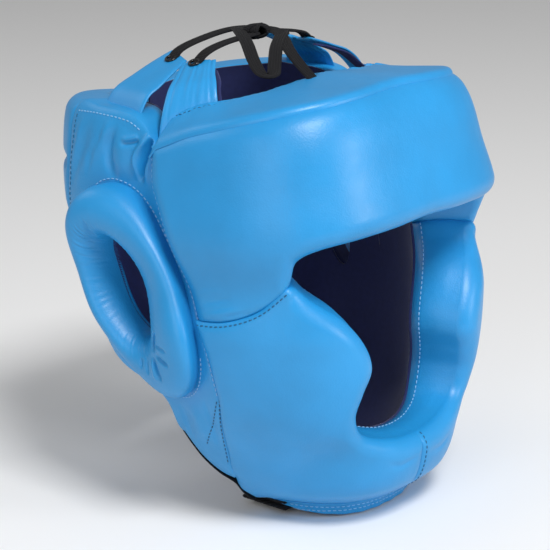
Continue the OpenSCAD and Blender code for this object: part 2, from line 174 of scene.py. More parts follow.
def along(points, u):
    """Smooth curve through a list of points, u from 0 to 1."""
    points = np.asarray(points, float)
    u = np.asarray(u, float)
    n = len(points) - 1
    i = np.clip(np.floor(u * n).astype(int), 0, n - 1)
    t = (u * n - i)[..., None]
    a, b = points[np.maximum(i - 1, 0)], points[i]
    c, d = points[i + 1], points[np.minimum(i + 2, n)]
    return hermite(b, c, (c - a) / 2, (d - b) / 2, t)


def radius(angle, z, rows):
    """Distance from the upright axis to a surface."""
    s, c = np.sin(np.radians(angle)), np.cos(np.radians(angle))
    front = c > 0
    deep = np.where(front, column(z, rows, 2), column(z, rows, 3))
    n = np.where(front, column(z, rows, 4), column(z, rows, 5))
    return ((np.abs(s) / column(z, rows, 1)) ** n + (np.abs(c) / deep) ** n) ** (-1 / n)


def side_dip(angle, z):
    """How far the side panel lies below the shell, where the ear ring sits."""
    fade = np.clip((np.asarray(z) + 105) / 45, 0, 1)
    return EAR_DIP * fade * np.exp(-(((-np.abs(angle) + 88) / 19) ** 2) - ((z - 2) / 84) ** 2)


def temple_lift(angle):
    """Height of the forehead pad's inner top edge over its welt."""
    return 17 * np.sin(np.radians(angle)) ** 4 - 2


def place(angle, z, r):
    """Points in metres from angles, heights and radii in millimetres."""
    angle, z, r = np.broadcast_arrays(np.asarray(angle, float), z, r)
    return MM * np.stack([r * np.sin(np.radians(angle)), -r * np.cos(np.radians(angle)), z], -1)


def crown(x, y):
    """Height in millimetres of the crown straps over the head."""
    return CROWN_Z - 0.0037 * x * x - 0.0022 * (y - 8) * (y - 8)


# --- grids ------------------------------------------------------------------------------


def even_edge(n):
    """Steps from 0 to 1 that are finer at both ends."""
    return 0.5 - 0.5 * np.cos(np.pi * np.linspace(0, 1, n + 1))


def patch(bottom, top, left, right, u, v):
    """Grid of (angle, height) inside four edge curves."""
    b, t = along(bottom, u)[None], along(top, u)[None]
    l, r = along(left, v)[:, None], along(right, v)[:, None]
    u, v = u[None, :, None], v[:, None, None]
    corners = ((1 - u) * (1 - v) * b[:, :1] + u * (1 - v) * b[:, -1:]
               + (1 - u) * v * t[:, :1] + u * v * t[:, -1:])
    return (1 - v) * b + v * t + (1 - u) * l + u * r - corners


def nearest(points, line):
    """Distance from each point to a polyline, and how far along it the nearest place is, 0 to 1."""
    flat = points.reshape(-1, 3)
    start, step = line[:-1], line[1:] - line[:-1]
    size = np.maximum((step**2).sum(-1), 1e-18)
    best, where = np.empty(len(flat)), np.empty(len(flat))
    for first in range(0, len(flat), 5000):
        part = flat[first:first + 5000, None]
        t = np.clip(((part - start) * step).sum(-1) / size, 0, 1)
        gap = ((part - start - t[..., None] * step) ** 2).sum(-1)
        k = gap.argmin(1)
        rows = np.arange(len(k))
        best[first:first + 5000] = np.sqrt(gap[rows, k])
        where[first:first + 5000] = (k + t[rows, k]) / len(start)
    shape = points.shape[:-1]
    return best.reshape(shape), where.reshape(shape)


def edge_drop(points, line, width, depth):
    """How far a pad falls away towards one of its edges: a quarter round, width by depth."""
    gap, where = nearest(points, line)
    width, depth = (np.interp(where, np.linspace(0, 1, np.size(size)), np.atleast_1d(size))
                    for size in (width, depth))
    q = np.clip(gap / MM / width, 0, 1)
    return depth * (1 - np.sqrt(1 - (1 - q) ** 2))


def blended(drops):
    """One drop from those of several edges."""
    return sum(d**3 for d in drops) ** (1 / 3)


def fold(points, path, width, height, ends=0.3):
    """A ridge (or, with a negative height, a groove) along a path, fading out at both ends."""
    gap, t = nearest(points, np.asarray(path, float))
    return height * bell(gap / MM, width) * eased(np.minimum(t, 1 - t) / ends)


def surface(angle, z, base=1, offset=0.0):
    """Points on the head space (0), the outer shell (1) or the dipped side panel (2)."""
    r = radius(angle, z, OUTER if base else INNER) - (side_dip(angle, z) if base == 2 else 0)
    return place(angle, z, r + offset)


def on_shell(points, base=1, count=60):
    """A dense 3D line on the shell through (angle, height) points."""
    p = along(points, np.linspace(0, 1, count))
    return surface(p[:, 0], p[:, 1], base)


# --- meshes -----------------------------------------------------------------------------


def new_piece(name, vertices, faces, kind):
    """A smooth mesh object at the origin with its normals pointing outwards."""
    mesh = bpy.data.meshes.new(name)
    mesh.from_pydata(np.asarray(vertices, float).reshape(-1, 3).tolist(), [], faces)
    piece = bpy.data.objects.new(name, mesh)
    bpy.context.scene.collection.objects.link(piece)
    edit = bmesh.new()
    edit.from_mesh(mesh)
    bmesh.ops.remove_doubles(edit, verts=edit.verts, dist=1e-6)
    bmesh.ops.recalc_face_normals(edit, faces=edit.faces)
    edit.to_mesh(mesh)
    edit.free()
    mesh.polygons.foreach_set("use_smooth", [True] * len(mesh.polygons))
    mesh.materials.append(material(kind))
    mesh.update()
    return piece


def body_between(outer, inner, closed=False, bulge=0.0, rims=4):
    """Vertices and faces of a closed body between two grids; bulge rounds its walls out."""
    rows, cols = outer.shape[:2]
    size = rows * cols
    index = np.arange(size).reshape(rows, cols)
    onward = np.roll(index, -1, 1)
    a, b = ((grid[:-1] if closed else grid[:-1, :-1]).ravel() for grid in (index, onward))
    cells = np.stack([[a, b, b + cols, a + cols], size + np.array([a, a + cols, b + cols, b])])
    faces = cells.transpose(2, 0, 1).reshape(-1, 4).tolist()
    # Each border with the grid points next to it
    if closed:
        borders = [(index[0], index[1]), (index[-1, ::-1], index[-2, ::-1])]
    else:
        down, along_it = np.arange(rows - 1), np.arange(cols - 1)
        j = np.concatenate([0 * along_it, down, rows - 1 + 0 * along_it, rows - 1 - down])
        i = np.concatenate([along_it, cols - 1 + 0 * down, cols - 1 - along_it, 0 * down])
        borders = [(index[j, i], index[np.clip(j, 1, rows - 2), np.clip(i, 1, cols - 2)])]
    points = [outer.reshape(-1, 3), inner.reshape(-1, 3)]
    count = 2 * size
    for border, near in borders:
        a, b = points[0][border], points[1][border]
        away = b - points[1][near]
        away /= np.maximum(np.linalg.norm(away, axis=1, keepdims=True), 1e-9)
        rings = [border]
        for t in np.arange(1, rims) / rims:
            points.append(a + (b - a) * t + away * bulge * MM * math.sin(math.pi * t))
            rings.append(count + np.arange(len(border)))
            count += len(border)
        rings.append(border + size)
        for low, high in zip(rings[:-1], rings[1:]):
            faces += np.stack([low, high, np.roll(high, -1), np.roll(low, -1)], -1).tolist()
    return np.concatenate(points), faces


def flipped(points, sign):
    """Points of the wearer's right, or their mirror image where the sign is -1."""
    return points * np.array([sign, 1, 1])


def settle(piece, body, slot, *replaced):
    """Ties a piece to the body it moves with and hides the nodes it stands for; the slot is not used."""
    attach(piece, body)
    if replaced:
        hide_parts(*replaced)


# --- materials --------------------------------------------------------------------------


def linear(code):
    """Linear RGBA from an sRGB hex value."""
    parts = [int(code[i:i + 2], 16) / 255 for i in (1, 3, 5)]
    return tuple(c / 12.92 if c <= 0.04045 else ((c + 0.055) / 1.055) ** 2.4 for c in parts) + (1.0,)


def node(tree, kind, settings=None, **links):
    """Adds a node. settings holds its properties, socket values and colour stops; links its inputs."""
    made = tree.nodes.new(kind)
    for key, value in (settings or {}).items():
        if key == "stops":
            for stop, (start, colour) in zip(made.color_ramp.elements, value):
                stop.position, stop.color = start, colour
        elif hasattr(made, key) and key not in made.inputs:
            setattr(made, key, value)
        else:
            made.inputs[key].default_value = value
    for key, source in links.items():
        tree.links.new(source, made.inputs[key.replace("_", " ")])
    return made


def new_material(name, finish, shade=None):
    """A material with a plain finish; shade adds its pattern and gives the shader's links."""
    made = bpy.data.materials.new(name)
    made.use_nodes = True
    tree = made.node_tree
    tree.nodes.clear()
    shader = node(tree, "ShaderNodeBsdfPrincipled", finish, **(shade(tree) if shade else {}))
    node(tree, "ShaderNodeOutputMaterial", Surface=shader.outputs[0])
    return made


def smooth_leather(name, colour, dark, roughness=0.4):
    """Dyed cowhide with a pressed, finely grained finish: satin gloss with a soft broad highlight."""
    def shade(tree):
        where = node(tree, "ShaderNodeTexCoord").outputs["Object"]
        # Cloudy dye, patches of about 40 mm
        cloud = node(tree, "ShaderNodeTexNoise", {"Scale": 25.0, "Detail": 3.0}, Vector=where)
        tint = node(tree, "ShaderNodeValToRGB", {"stops": ((0.3, dark), (0.7, colour))},
                    Fac=cloud.outputs["Fac"])
        # Pressed grain in cells of about 0.9 mm, fine pores, and soft waves of about 8 mm
        grain = node(tree, "ShaderNodeTexVoronoi", {"Scale": 1100.0, "feature": "SMOOTH_F1"}, Vector=where)
        pores = node(tree, "ShaderNodeTexNoise", {"Scale": 2600.0, "Detail": 2.0}, Vector=where)
        soft = node(tree, "ShaderNodeTexNoise", {"Scale": 130.0, "Detail": 4.0}, Vector=where)
        rough = node(tree, "ShaderNodeMapRange",
                     {"To Min": roughness - 0.05, "To Max": roughness + 0.08}, Value=soft.outputs["Fac"])
        bump = node(tree, "ShaderNodeBump", {"Strength": 0.16, "Distance": 0.0004},
                    Height=grain.outputs["Distance"])
        bump = node(tree, "ShaderNodeBump", {"Strength": 0.12, "Distance": 0.0003},
                    Height=pores.outputs["Fac"], Normal=bump.outputs["Normal"])
        bump = node(tree, "ShaderNodeBump", {"Strength": 0.18, "Distance": 0.0012},
                    Height=soft.outputs["Fac"], Normal=bump.outputs["Normal"])
        return {"Base_Color": tint.outputs["Color"], "Roughness": rough.outputs["Result"],
                "Normal": bump.outputs["Normal"]}
    return new_material(name, {"Specular IOR Level": 0.5, "IOR": 1.5, "Coat Weight": 0.12,
                               "Coat Roughness": 0.32}, shade)


def cloth(name, finish, tones, pattern, relief=None):
    """A matt weave or pile: pattern and relief give a texture's node, settings and output, and
    relief also the strength and depth in metres of its bumps."""
    def shade(tree):
        where = node(tree, "ShaderNodeTexCoord").outputs["Object"]
        drawn = node(tree, *pattern[:2], Vector=where)
        tint = node(tree, "ShaderNodeValToRGB", {"stops": tuple(enumerate(tones))},
                    Fac=drawn.outputs[pattern[2]])
        links = {"Base_Color": tint.outputs["Color"]}
        if relief:
            raised = drawn if relief[:3] == pattern else node(tree, *relief[:2], Vector=where)
            bump = node(tree, "ShaderNodeBump", {"Strength": relief[3], "Distance": relief[4]},
                        Height=raised.outputs[relief[2]])
            links["Normal"] = bump.outputs["Normal"]
        return links
    return new_material(name, finish, shade)


def napped_lining(name, colour, dark):
    """Microfibre suede: a short nap that looks soft and takes the light at grazing angles."""
    return cloth(name, {"Roughness": 0.9, "Sheen Weight": 0.25, "Sheen Roughness": 0.4, "IOR": 1.45},
                 (dark, colour), ("ShaderNodeTexNoise", {"Scale": 300.0, "Detail": 5.0}, "Fac"),
                 ("ShaderNodeTexNoise", {"Scale": 2500.0, "Detail": 3.0}, "Fac", 0.3, 0.0004))


def woven_webbing(name, colour, dark, ribs=900.0):
    """Woven polypropylene: matt black with ribs across the band that catch a dull light."""
    weave = ("ShaderNodeTexWave", {"Scale": ribs / 6.2832, "Distortion": 0.6, "Detail": 1.0,
                                   "wave_type": "BANDS", "bands_direction": "DIAGONAL"}, "Fac")
    return cloth(name, {"Roughness": 0.8, "IOR": 1.45, "Sheen Weight": 0.04, "Specular IOR Level": 0.25},
                 (dark, colour), weave, (*weave, 0.6, 0.0005))


def spun_thread(name, colour, dark):
    """Bonded nylon thread: twisted, slightly glossy."""
    return cloth(name, {"Roughness": 0.45, "IOR": 1.5}, (dark, colour),
                 ("ShaderNodeTexNoise", {"Scale": 1500.0, "Detail": 1.0}, "Fac"))


def hook_and_loop(name, colour, dark):
    """Nylon hook-and-loop tape: a dense fuzzy pile."""
    pile = ("ShaderNodeTexVoronoi", {"Scale": 900.0}, "Distance")
    return cloth(name, {"Roughness": 0.9, "Sheen Weight": 0.06, "IOR": 1.45, "Specular IOR Level": 0.25},
                 (colour, dark), pile, (*pile, 0.8, 0.0008))


def lacquered_eyelet(name, colour):
    """Brass eyelet under black lacquer, worn to an uneven gloss."""
    def shade(tree):
        where = node(tree, "ShaderNodeTexCoord").outputs["Object"]
        worn = node(tree, "ShaderNodeTexNoise", {"Scale": 700.0, "Detail": 2.0}, Vector=where)
        rough = node(tree, "ShaderNodeMapRange", {"To Min": 0.2, "To Max": 0.4}, Value=worn.outputs["Fac"])
        return {"Roughness": rough.outputs["Result"]}
    return new_material(name, {"Base Color": colour, "Metallic": 0.6, "Coat Weight": 0.4}, shade)


MATERIALS = {}


def material(kind):
    """The headgear's materials, each made once from the colours in the panel."""
    if kind not in MATERIALS:
        colours = bpy.context.scene.headgear_colours

        def deep(colour, share):
            return tuple(c * share for c in colour[:3]) + (1.0,)

        leather, lining, webbing, thread = (
            tuple(c) for c in (colours.leather, colours.lining, colours.webbing, colours.thread))
        maker, *settings = {
            "leather": (smooth_leather, "dyed_cowhide", leather, deep(leather, 0.88)),
            # The suede lining's dark navy is partly painted shade: it is darker than the leather so that the
            # openings stay dark
            "lining": (napped_lining, "suede_lining", lining, deep(lining, 0.6)),
            "webbing": (woven_webbing, "woven_webbing", webbing, deep(webbing, 0.4)),
            "lace": (woven_webbing, "flat_lace", deep(webbing, 1.0), deep(webbing, 0.4), 2400.0),
            # Seam thread: its light colour is partly a painted highlight on the stitches
            "thread": (spun_thread, "bonded_thread", thread, deep(thread, 0.7)),
            # A second thread, the leather darkened: painted shade for the seams that lie in shade
            "dark_thread": (spun_thread, "dark_thread", deep(leather, 0.44), deep(leather, 0.26)),
            "tape": (hook_and_loop, "hook_and_loop_tape", deep(webbing, 1.2), deep(webbing, 0.4)),
            "eyelet": (lacquered_eyelet, "lacquered_eyelet", deep(webbing, 0.8)),
        }[kind]
        MATERIALS[kind] = maker(*settings)
    return MATERIALS[kind]


# --- what a user would change -------------------------------------------------------------


class HeadgearSizes(bpy.types.PropertyGroup):
    stitch: bpy.props.FloatProperty(
        name="Stitch", description="Length of one stitch", default=2.3 * MM, unit="LENGTH")
    stitch_step: bpy.props.FloatProperty(
        name="Stitch step", description="From one stitch to the next", default=3.2 * MM, unit="LENGTH")
    thread: bpy.props.FloatProperty(
        name="Thread", description="Thickness of the thread", default=0.75 * MM, unit="LENGTH")
    lining: bpy.props.FloatProperty(
        name="Lining", description="Thickness of the lining", default=1.6 * MM, unit="LENGTH")
    opening_round: bpy.props.FloatProperty(
        name="Opening round", description="How far the pads round into the face opening",
        default=11 * MM, unit="LENGTH")


class HeadgearColours(bpy.types.PropertyGroup):
    leather: bpy.props.FloatVectorProperty(
        name="Leather", description="Dye of the outer leather", subtype="COLOR", size=4,
        min=0, max=1, default=linear("#2092D3"))
    # Dark navy, partly painted shade: the lining is darker than the leather so that the insides of the openings
    # look shaded
    lining: bpy.props.FloatVectorProperty(
        name="Lining", description="Suede inside the headgear", subtype="COLOR", size=4,
        min=0, max=1, default=linear("#232C63"))
    webbing: bpy.props.FloatVectorProperty(
        name="Webbing", description="Straps, tape and lace", subtype="COLOR", size=4,
        min=0, max=1, default=linear("#17171B"))
    # Light blue, partly painted highlight: the seams' thread is lighter than the leather to show the stitches'
    # highlights
    thread: bpy.props.FloatVectorProperty(
        name="Thread", description="Thread of the seams", subtype="COLOR", size=4,
        min=0, max=1, default=linear("#8CC4F2"))


# --- the pads -----------------------------------------------------------------------------


def forehead_grid(nu, nv):
    """Steps along the forehead pad by steps from its brow to its welt."""
    return patch(BROW, WELT, EAR_SEAM, mirrored(EAR_SEAM), np.linspace(0, 1, nu + 1), even_edge(nv))


def cheek_grid(nu, nv):
    """Steps from the ear to the chin by steps from the jaw's edge to the opening."""
    return patch(CHEEK_BOTTOM, CHEEK_TOP, JAW_SEAM, CHIN_SEAM, even_edge(nu), even_edge(nv))


def rear_grid(nu, nv):
    """Steps from the side seam to the middle of the back by steps upwards."""
    return patch(REAR_BOTTOM, REAR_TOP, REAR_LEFT, REAR_RIGHT, even_edge(nu), even_edge(nv))


def from_side(y, z):
    """(angle, height) of points seen square on from the wearer's right."""
    return np.stack([-90 - np.degrees(np.arcsin(np.clip(y / SIDE_RADIUS, -1, 1))), z], -1)


def hole_edge(outline):
    """For each point of an outline, the point of the ear hole in the same direction."""
    c, s = math.cos(RING_LEAN), math.sin(RING_LEAN)
    mid_y, mid_z = EAR_Y + HOLE_BACK * c + HOLE_UP * s, EAR_Z - HOLE_BACK * s + HOLE_UP * c
    dy = SIDE_RADIUS * np.sin(np.radians(-90 - outline[:, 0])) - mid_y
    dz = outline[:, 1] - mid_z
    turn = np.arctan2(dy * s + dz * c, dy * c - dz * s)
    across, along_it = HOLE_SHORT * np.cos(turn), HOLE_LONG * np.sin(turn)
    return from_side(mid_y + across * c + along_it * s, mid_z - across * s + along_it * c)


def side_grid(nu, nv):
    """Steps round the side panel by steps from the ear hole to its outline."""
    outline = along(SIDE_LOOP, np.linspace(0, 1, nu, endpoint=False))[::-1]
    v = even_edge(nv)[:, None, None]
    return (1 - v) * hole_edge(outline)[None] + v * outline[None]


def raised_top(angle, z):
    """Heights of the forehead pad's inside, which rises to the top panel's inner edge."""
    return z + temple_lift(angle) * np.linspace(0, 1, len(z))[:, None] ** 3


def pad_body(grid, base, drop, relief=0.0, bulge=0.0, closed=False, lift=False):
    """Closed body of a pad whose front falls away by drop and carries relief, in millimetres."""
    angle, z = grid[..., 0], grid[..., 1]
    outer = surface(angle, z, base, relief - drop)
    lining = bpy.context.scene.headgear_sizes.lining / MM
    inner = place(angle, raised_top(angle, z) if lift else z, radius(angle, z, INNER) + lining)
    return body_between(outer, inner, closed, bulge)


def both_sides(name, vertices, faces, kind, replaced, slot, fill=None, body="shell", sheet=None):
    """The wearer's right piece and its mirror image, on the shell or on the rear panels."""
    made = []
    for side, sign in SIDES:
        # The rear panels' grid is on the wearer's left
        turn = -sign if body == "rear_panel" else sign
        piece = new_piece(f"{name}_{side}", flipped(vertices, turn), faces, kind)
        settle(piece, f"{body}_{side}" if body == "rear_panel" else body, slot,
               *[f"{node_name}_{side}" for node_name in replaced])
        made.append(piece)
    return made


class HEADGEAR_OT_forehead_pad(bpy.types.Operator):
    """Leather cover of the forehead pad, from the brow to the welt"""

    bl_idname = "headgear.forehead_pad"
    bl_label = "Forehead pad"

    def execute(self, context):
        steps = 280
        grid = forehead_grid(steps, 90)
        points = surface(grid[..., 0], grid[..., 1])
        brow = along(BROW, np.linspace(0, 1, steps + 1))
        # Only the part over the face opening is rounded widely
        is_brow = np.clip((42 - np.abs(brow[:, 0])) / 3, 0, 1)
        opening = context.scene.headgear_sizes.opening_round / MM
        drops = [
            edge_drop(points, surface(brow[:, 0], brow[:, 1]), 6 + 7 * is_brow,
                      3 + (opening - 3) * is_brow),
            edge_drop(points, on_shell(WELT, count=200), 9, 5),
            edge_drop(points, on_shell(EAR_SEAM), 10, 7),
            edge_drop(points, on_shell(mirrored(EAR_SEAM)), 10, 7),
        ]
        # Leather gathered by the seam at the temple
        relief = 0
        for _, sign in SIDES:
            for start, end, height in (((-62, -3), (-52, 3), 0.5), ((-64, 3), (-54, 9), -0.5),
                                       ((-65, 8), (-57, 13), 0.4), ((-58, -4), (-50, 2), -0.5)):
                line = flipped(on_shell([start, end], 1, 8), sign)
                relief = relief + fold(points, line, 1.4, height, 0.4)
        vertices, faces = pad_body(grid, 1, blended(drops), relief, lift=True)
        piece = new_piece("forehead_pad", vertices, faces, "leather")
        settle(piece, "shell", "shell_leather", "forehead_cover", "forehead_foam")
        return {"FINISHED"}


class HEADGEAR_OT_cheek_pads(bpy.types.Operator):
    """Leather covers of the two cheek pads, which meet at the chin seam"""

    bl_idname = "headgear.cheek_pads"
    bl_label = "Cheek pads"

    def execute(self, context):
        steps = 190
        grid = cheek_grid(steps, 130)
        points = surface(grid[..., 0], grid[..., 1])
        u = even_edge(steps)
        top = along(CHEEK_TOP, u)
        # The first quarter of the top edge is sewn to the forehead pad, the rest is the face opening
        is_open = np.clip((u - 0.235) / 0.05, 0, 1)
        opening = context.scene.headgear_sizes.opening_round / MM
        drops = [
            edge_drop(points, surface(top[:, 0], top[:, 1]), 6 + 6 * is_open, 3 + (opening - 3) * is_open),
            edge_drop(points, on_shell(CHEEK_BOTTOM, count=160), (10, 12, 18, 20), (5, 8, 14, 14)),
            edge_drop(points, on_shell(JAW_SEAM), 4, 1.2),
            edge_drop(points, on_shell(CHIN_SEAM), 6, 2),
        ]
        # The long hollow down the chin, and a crease beside the chin seam
        relief = fold(points, on_shell([(-28, -78), (-31, -92), (-37, -110), (-43, -130)]), 13, -3.4, 0.4)
        relief = relief + fold(points, on_shell([(-2, -104), (-9, -106), (-14, -101)]), 2.2, -0.7, 0.4)
        vertices, faces = pad_body(grid, 1, blended(drops), relief, bulge=2)
        both_sides("cheek_pad", vertices, faces, "leather", ("cheek_cover", "cheek_foam"),
                   "shell_leather", 0.85)
        return {"FINISHED"}


# Wrinkles of the right side panel: path of (angle, height), width and height in millimetres, and
# the share of the path over which each end fades
SIDE_WRINKLES = (
    # The tuck that the seam pulls in below the front of the top edge
    ([(-84.5, 99), (-85, 93), (-89.4, 86), (-91.7, 78), (-91.4, 64)], 2.4, 3.6, 0.25),
    ([(-82.6, 96), (-83.6, 84), (-86.6, 74), (-88.6, 62)], 2.2, 2.6, 0.3),
    ([(-85, 95), (-87, 84), (-89, 75), (-90, 64)], 1.8, -6.0, 0.25),
    ([(-98, 85.6), (-94, 86.8), (-90.4, 88.6)], 1.3, -1.8, 0.3),
    ([(-98, 88), (-94, 89.4), (-91, 91)], 1.6, 1.2, 0.3),
    # Long soft wrinkles that run down and back from the top edge
    ([(-103, 99), (-106, 90), (-109.5, 80), (-115, 64)], 3.6, 1.9, 0.35),
    ([(-105.5, 97), (-108, 86), (-111, 76), (-113, 62)], 2.4, -1.7, 0.35),
    ([(-100.5, 97), (-103.5, 85), (-103, 73), (-99, 63)], 3.2, -2.3, 0.35),
    ([(-96, 95), (-97.5, 84), (-97, 73), (-95, 62)], 8.0, 2.6, 0.4),
    ([(-112, 99), (-115, 84), (-119, 66), (-121, 50)], 4.2, -1.3, 0.4),
    ([(-117, 98), (-119, 80), (-122, 58)], 3.2, 1.0, 0.4),
    # Creases below the ring, towards the gusset
    ([(-72, -64), (-70, -78), (-69, -92)], 5.5, 1.6, 0.4),
    ([(-77, -66), (-75.5, -80), (-74, -94)], 3.2, -1.2, 0.4),
    ([(-66, -58), (-64, -76), (-63, -96)], 2.6, -1.0, 0.35),
    ([(-93, -56), (-104, -46), (-114, -40)], 4.0, -0.9, 0.4),
)
# Creases of the ear ring: turn round the hole and roll over the tube in degrees, width, height
RING_CREASES = (
    ([(219, 112), (232, 118), (246, 112)], 1.7, -3.4),
    ([(283, 114), (289, 104), (292, 90)], 1.1, -1.5),
    ([(250, 112), (258, 92), (264, 70)], 1.3, -2.2),
    ([(256, 112), (266, 92), (273, 74)], 1.6, 1.4),
    ([(243, 104), (240, 88), (237, 70)], 1.2, -1.9),
    ([(234, 112), (229, 94), (226, 76)], 1.0, -1.2),
    ([(270, 118), (277, 100), (283, 84)], 1.1, -1.2),
    ([(92, 100), (84, 128), (76, 154)], 1.3, -1.5),
    ([(63, 122), (69, 150), (75, 174)], 1.2, -1.4),
    ([(46, 122), (50, 150), (53, 172)], 1.2, -1.2),
    ([(30, 118), (33, 146), (36, 170)], 1.1, -1.1),
)


class HEADGEAR_OT_side_panels(bpy.types.Operator):
    """Leather over the sides, with the ear holes and the wrinkles that the seams pull in"""

    bl_idname = "headgear.side_panels"
    bl_label = "Side panels"

    def execute(self, context):
        grid = side_grid(420, 100)
        points = surface(grid[..., 0], grid[..., 1], 2)
        outline = on_shell(SIDE_LOOP, 2, 420)
        jaw = on_shell([(-58, -118), (-66, -114), (-74, -103.5), (-80, -90)], 2)
        drop = blended([edge_drop(points, outline, 4, 1.6), edge_drop(points, jaw, 12, 5)])
        relief = sum(fold(points, on_shell(path, 2, 30), *size) for path, *size in SIDE_WRINKLES)
        vertices, faces = pad_body(grid, 2, drop, relief, closed=True)
        made = both_sides("side_panel", vertices, faces, "leather", ("side_cover", "side_foam"),
                          "shell_leather", 0.6)
        # The wall of the ear hole is lined with the dark suede, partly painted shade that keeps the hole dark:
        # its faces follow those of the two large grids
        rows, cols = grid.shape[:2]
        first = 2 * (rows - 1) * cols
        for piece in made:
            piece.data.materials.append(material("lining"))
            for face in piece.data.polygons[first:first + 4 * cols]:
                face.material_index = 1
        return {"FINISHED"}


def seam_angle(z):
    """Angle of the seam in front of the ear at a height."""
    seam = FRONT_SEAM[np.argsort(FRONT_SEAM[:, 1], kind="stable")]
    return np.interp(z, seam[:, 1], seam[:, 0])


def ring_points(turn, roll):
    """Angle, height and rise of the ear ring's surface; roll goes from its outer edge to the hole."""
    inward = 0.5 - 0.5 * np.cos(roll)
    short, long = ((ring + hole) / 2 + (ring - hole) / 2 * np.cos(roll)
                   for ring, hole in ((RING_SHORT, HOLE_SHORT), (RING_LONG, HOLE_LONG)))
    s = short * np.cos(turn) + HOLE_BACK * inward
    l = long * np.sin(turn) + HOLE_UP * inward
    y = EAR_Y + s * math.cos(RING_LEAN) + l * math.sin(RING_LEAN)
    z = EAR_Z - s * math.sin(RING_LEAN) + l * math.cos(RING_LEAN)
    # The tube leans back from the seams of the forehead and cheek pads
    limit = seam_angle(z) - 2.9
    angle = from_side(y, z)[..., 0]
    angle = np.where(angle > limit, limit + 2 - 2 * np.exp(-np.maximum(angle - limit, 0) / 2), angle)
    slope = 0.55 + 0.55 * inward**2 * (0.5 + 0.5 * np.cos(turn))
    return angle, z, RING_HEIGHT * np.maximum(np.sin(roll), 0) ** slope


class HEADGEAR_OT_ear_rings(bpy.types.Operator):
    """Padded rings round the ear holes, creased where the tube bends tightly"""

    bl_idname = "headgear.ear_rings"
    bl_label = "Ear rings"

    def execute(self, context):
        turn = np.linspace(0, 2 * math.pi, 400, endpoint=False)[None]
        roll = np.linspace(0, math.pi, 81)[:, None]
        angle, z, rise = ring_points(turn, roll)
        points = surface(angle, z, 2, rise)
        relief = 0
        for path, width, height in RING_CREASES:
            path = np.radians(along(path, np.linspace(0, 1, 24)))
            crease_angle, crease_z, crease_rise = ring_points(path[:, 0], path[:, 1])
            line = surface(crease_angle, crease_z, 2, crease_rise)
            relief = relief + fold(points, line, width, height, 0.35)
        # Fine gathers into the hole, strongest at the upper rear of the ring
        gather = np.sin(46 * turn + 2.2 * np.sin(5 * turn)) + 0.6 * np.sin(71 * turn + 1)
        strength = 0.1 + 0.26 * bell(np.angle(np.exp(1j * (turn - 1.0))), 0.6)
        relief = relief + gather * bell(roll - 2.35, 0.5) * strength
        vertices, faces = body_between(surface(angle, z, 2, rise + relief), surface(angle, z, 2, -2.5),
                                       closed=True)
        both_sides("ear_ring", vertices, faces, "leather", ("ear_ring_cover", "ear_ring_foam"),
                   "shell_leather", 0.9)
        return {"FINISHED"}


class HEADGEAR_OT_rear_panels(bpy.types.Operator):
    """Leather of the two rear panels, which bend at their seams with the side panels"""

    bl_idname = "headgear.rear_panels"
    bl_label = "Rear panels"

    def execute(self, context):
        grid = rear_grid(110, 130)
        points = surface(grid[..., 0], grid[..., 1])
        drops = [edge_drop(points, on_shell(edge), width, depth) for edge, width, depth in (
            (REAR_LEFT, 6, 3), (REAR_RIGHT, 12, 9), (REAR_TOP, 8, 6), (REAR_BOTTOM, 8, 6))]
        # Quilted channels, sewn level through the panel
        relief = sum(fold(points, on_shell([(126, height), (150, height + 1), (175, height)]), 3.2, -3.0, 0.08)
                     for height in (66, 34, -18))
        vertices, faces = pad_body(grid, 1, blended(drops), relief)
        both_sides("rear_panel", vertices, faces, "leather", ("rear_cover", "rear_foam"),
                   "shell_leather", 0.6, body="rear_panel")
        return {"FINISHED"}


class HEADGEAR_OT_top_panel(bpy.types.Operator):
    """Leather over the top of the forehead pad, from the welt to the stitched inner edge"""

    bl_idname = "headgear.top_panel"
    bl_label = "Top panel"

    def execute(self, context):
        top, low = top_panel_grids()
        piece = new_piece("forehead_top", *body_between(top, low, bulge=0.8, rims=5), "leather")
        settle(piece, "shell", "shell_leather", "forehead_top_panel")
        return {"FINISHED"}


def top_panel_grids():
    """Upper and lower face of the top panel; rows run from the welt to the inner edge."""
    u = np.linspace(0, 1, 420)
    v = even_edge(44)[:, None]
    angle, z = along(WELT, u).T[:, None]
    wave = 1.1 * np.sin(31 * u) * np.sin(17 * u + 1) + 0.5 * np.sin(83 * u + 2)
    r_out, r_in = radius(angle, z, OUTER) - 1.6, radius(angle, z, INNER) + 1 + wave
    width = r_out - r_in
    out, back = v * width, (1 - v) * width
    rise = 2.9 * (1 - np.exp(-out / 1.6)) - 1.6 * bell(back, 4.5)
    # Topstitching gathers the leather along the inner edge
    rise = rise + 0.35 * bell(back - 4, 3) * np.sin(230 * u + 3 * np.sin(21 * u)) - 0.9 * bell(back - 4.2, 1.1)
    # Two puckers near the front, where the panel was pieced
    for middle, size in ((0.62, 1.6), (0.79, 2.2)):
        rise = rise - size * bell(u - middle, 0.006) * bell(back, 9)
        rise = rise + 0.6 * size * bell(u - middle - 0.012, 0.007) * bell(back, 11)
    end = eased(np.minimum(u, 1 - u) / 0.035)
    level = z + temple_lift(angle) * v + (rise + 0.5) * end - 3.5 * (1 - end)
    return place(angle, level, r_out - out), place(angle, level - 2.2, r_out - out)


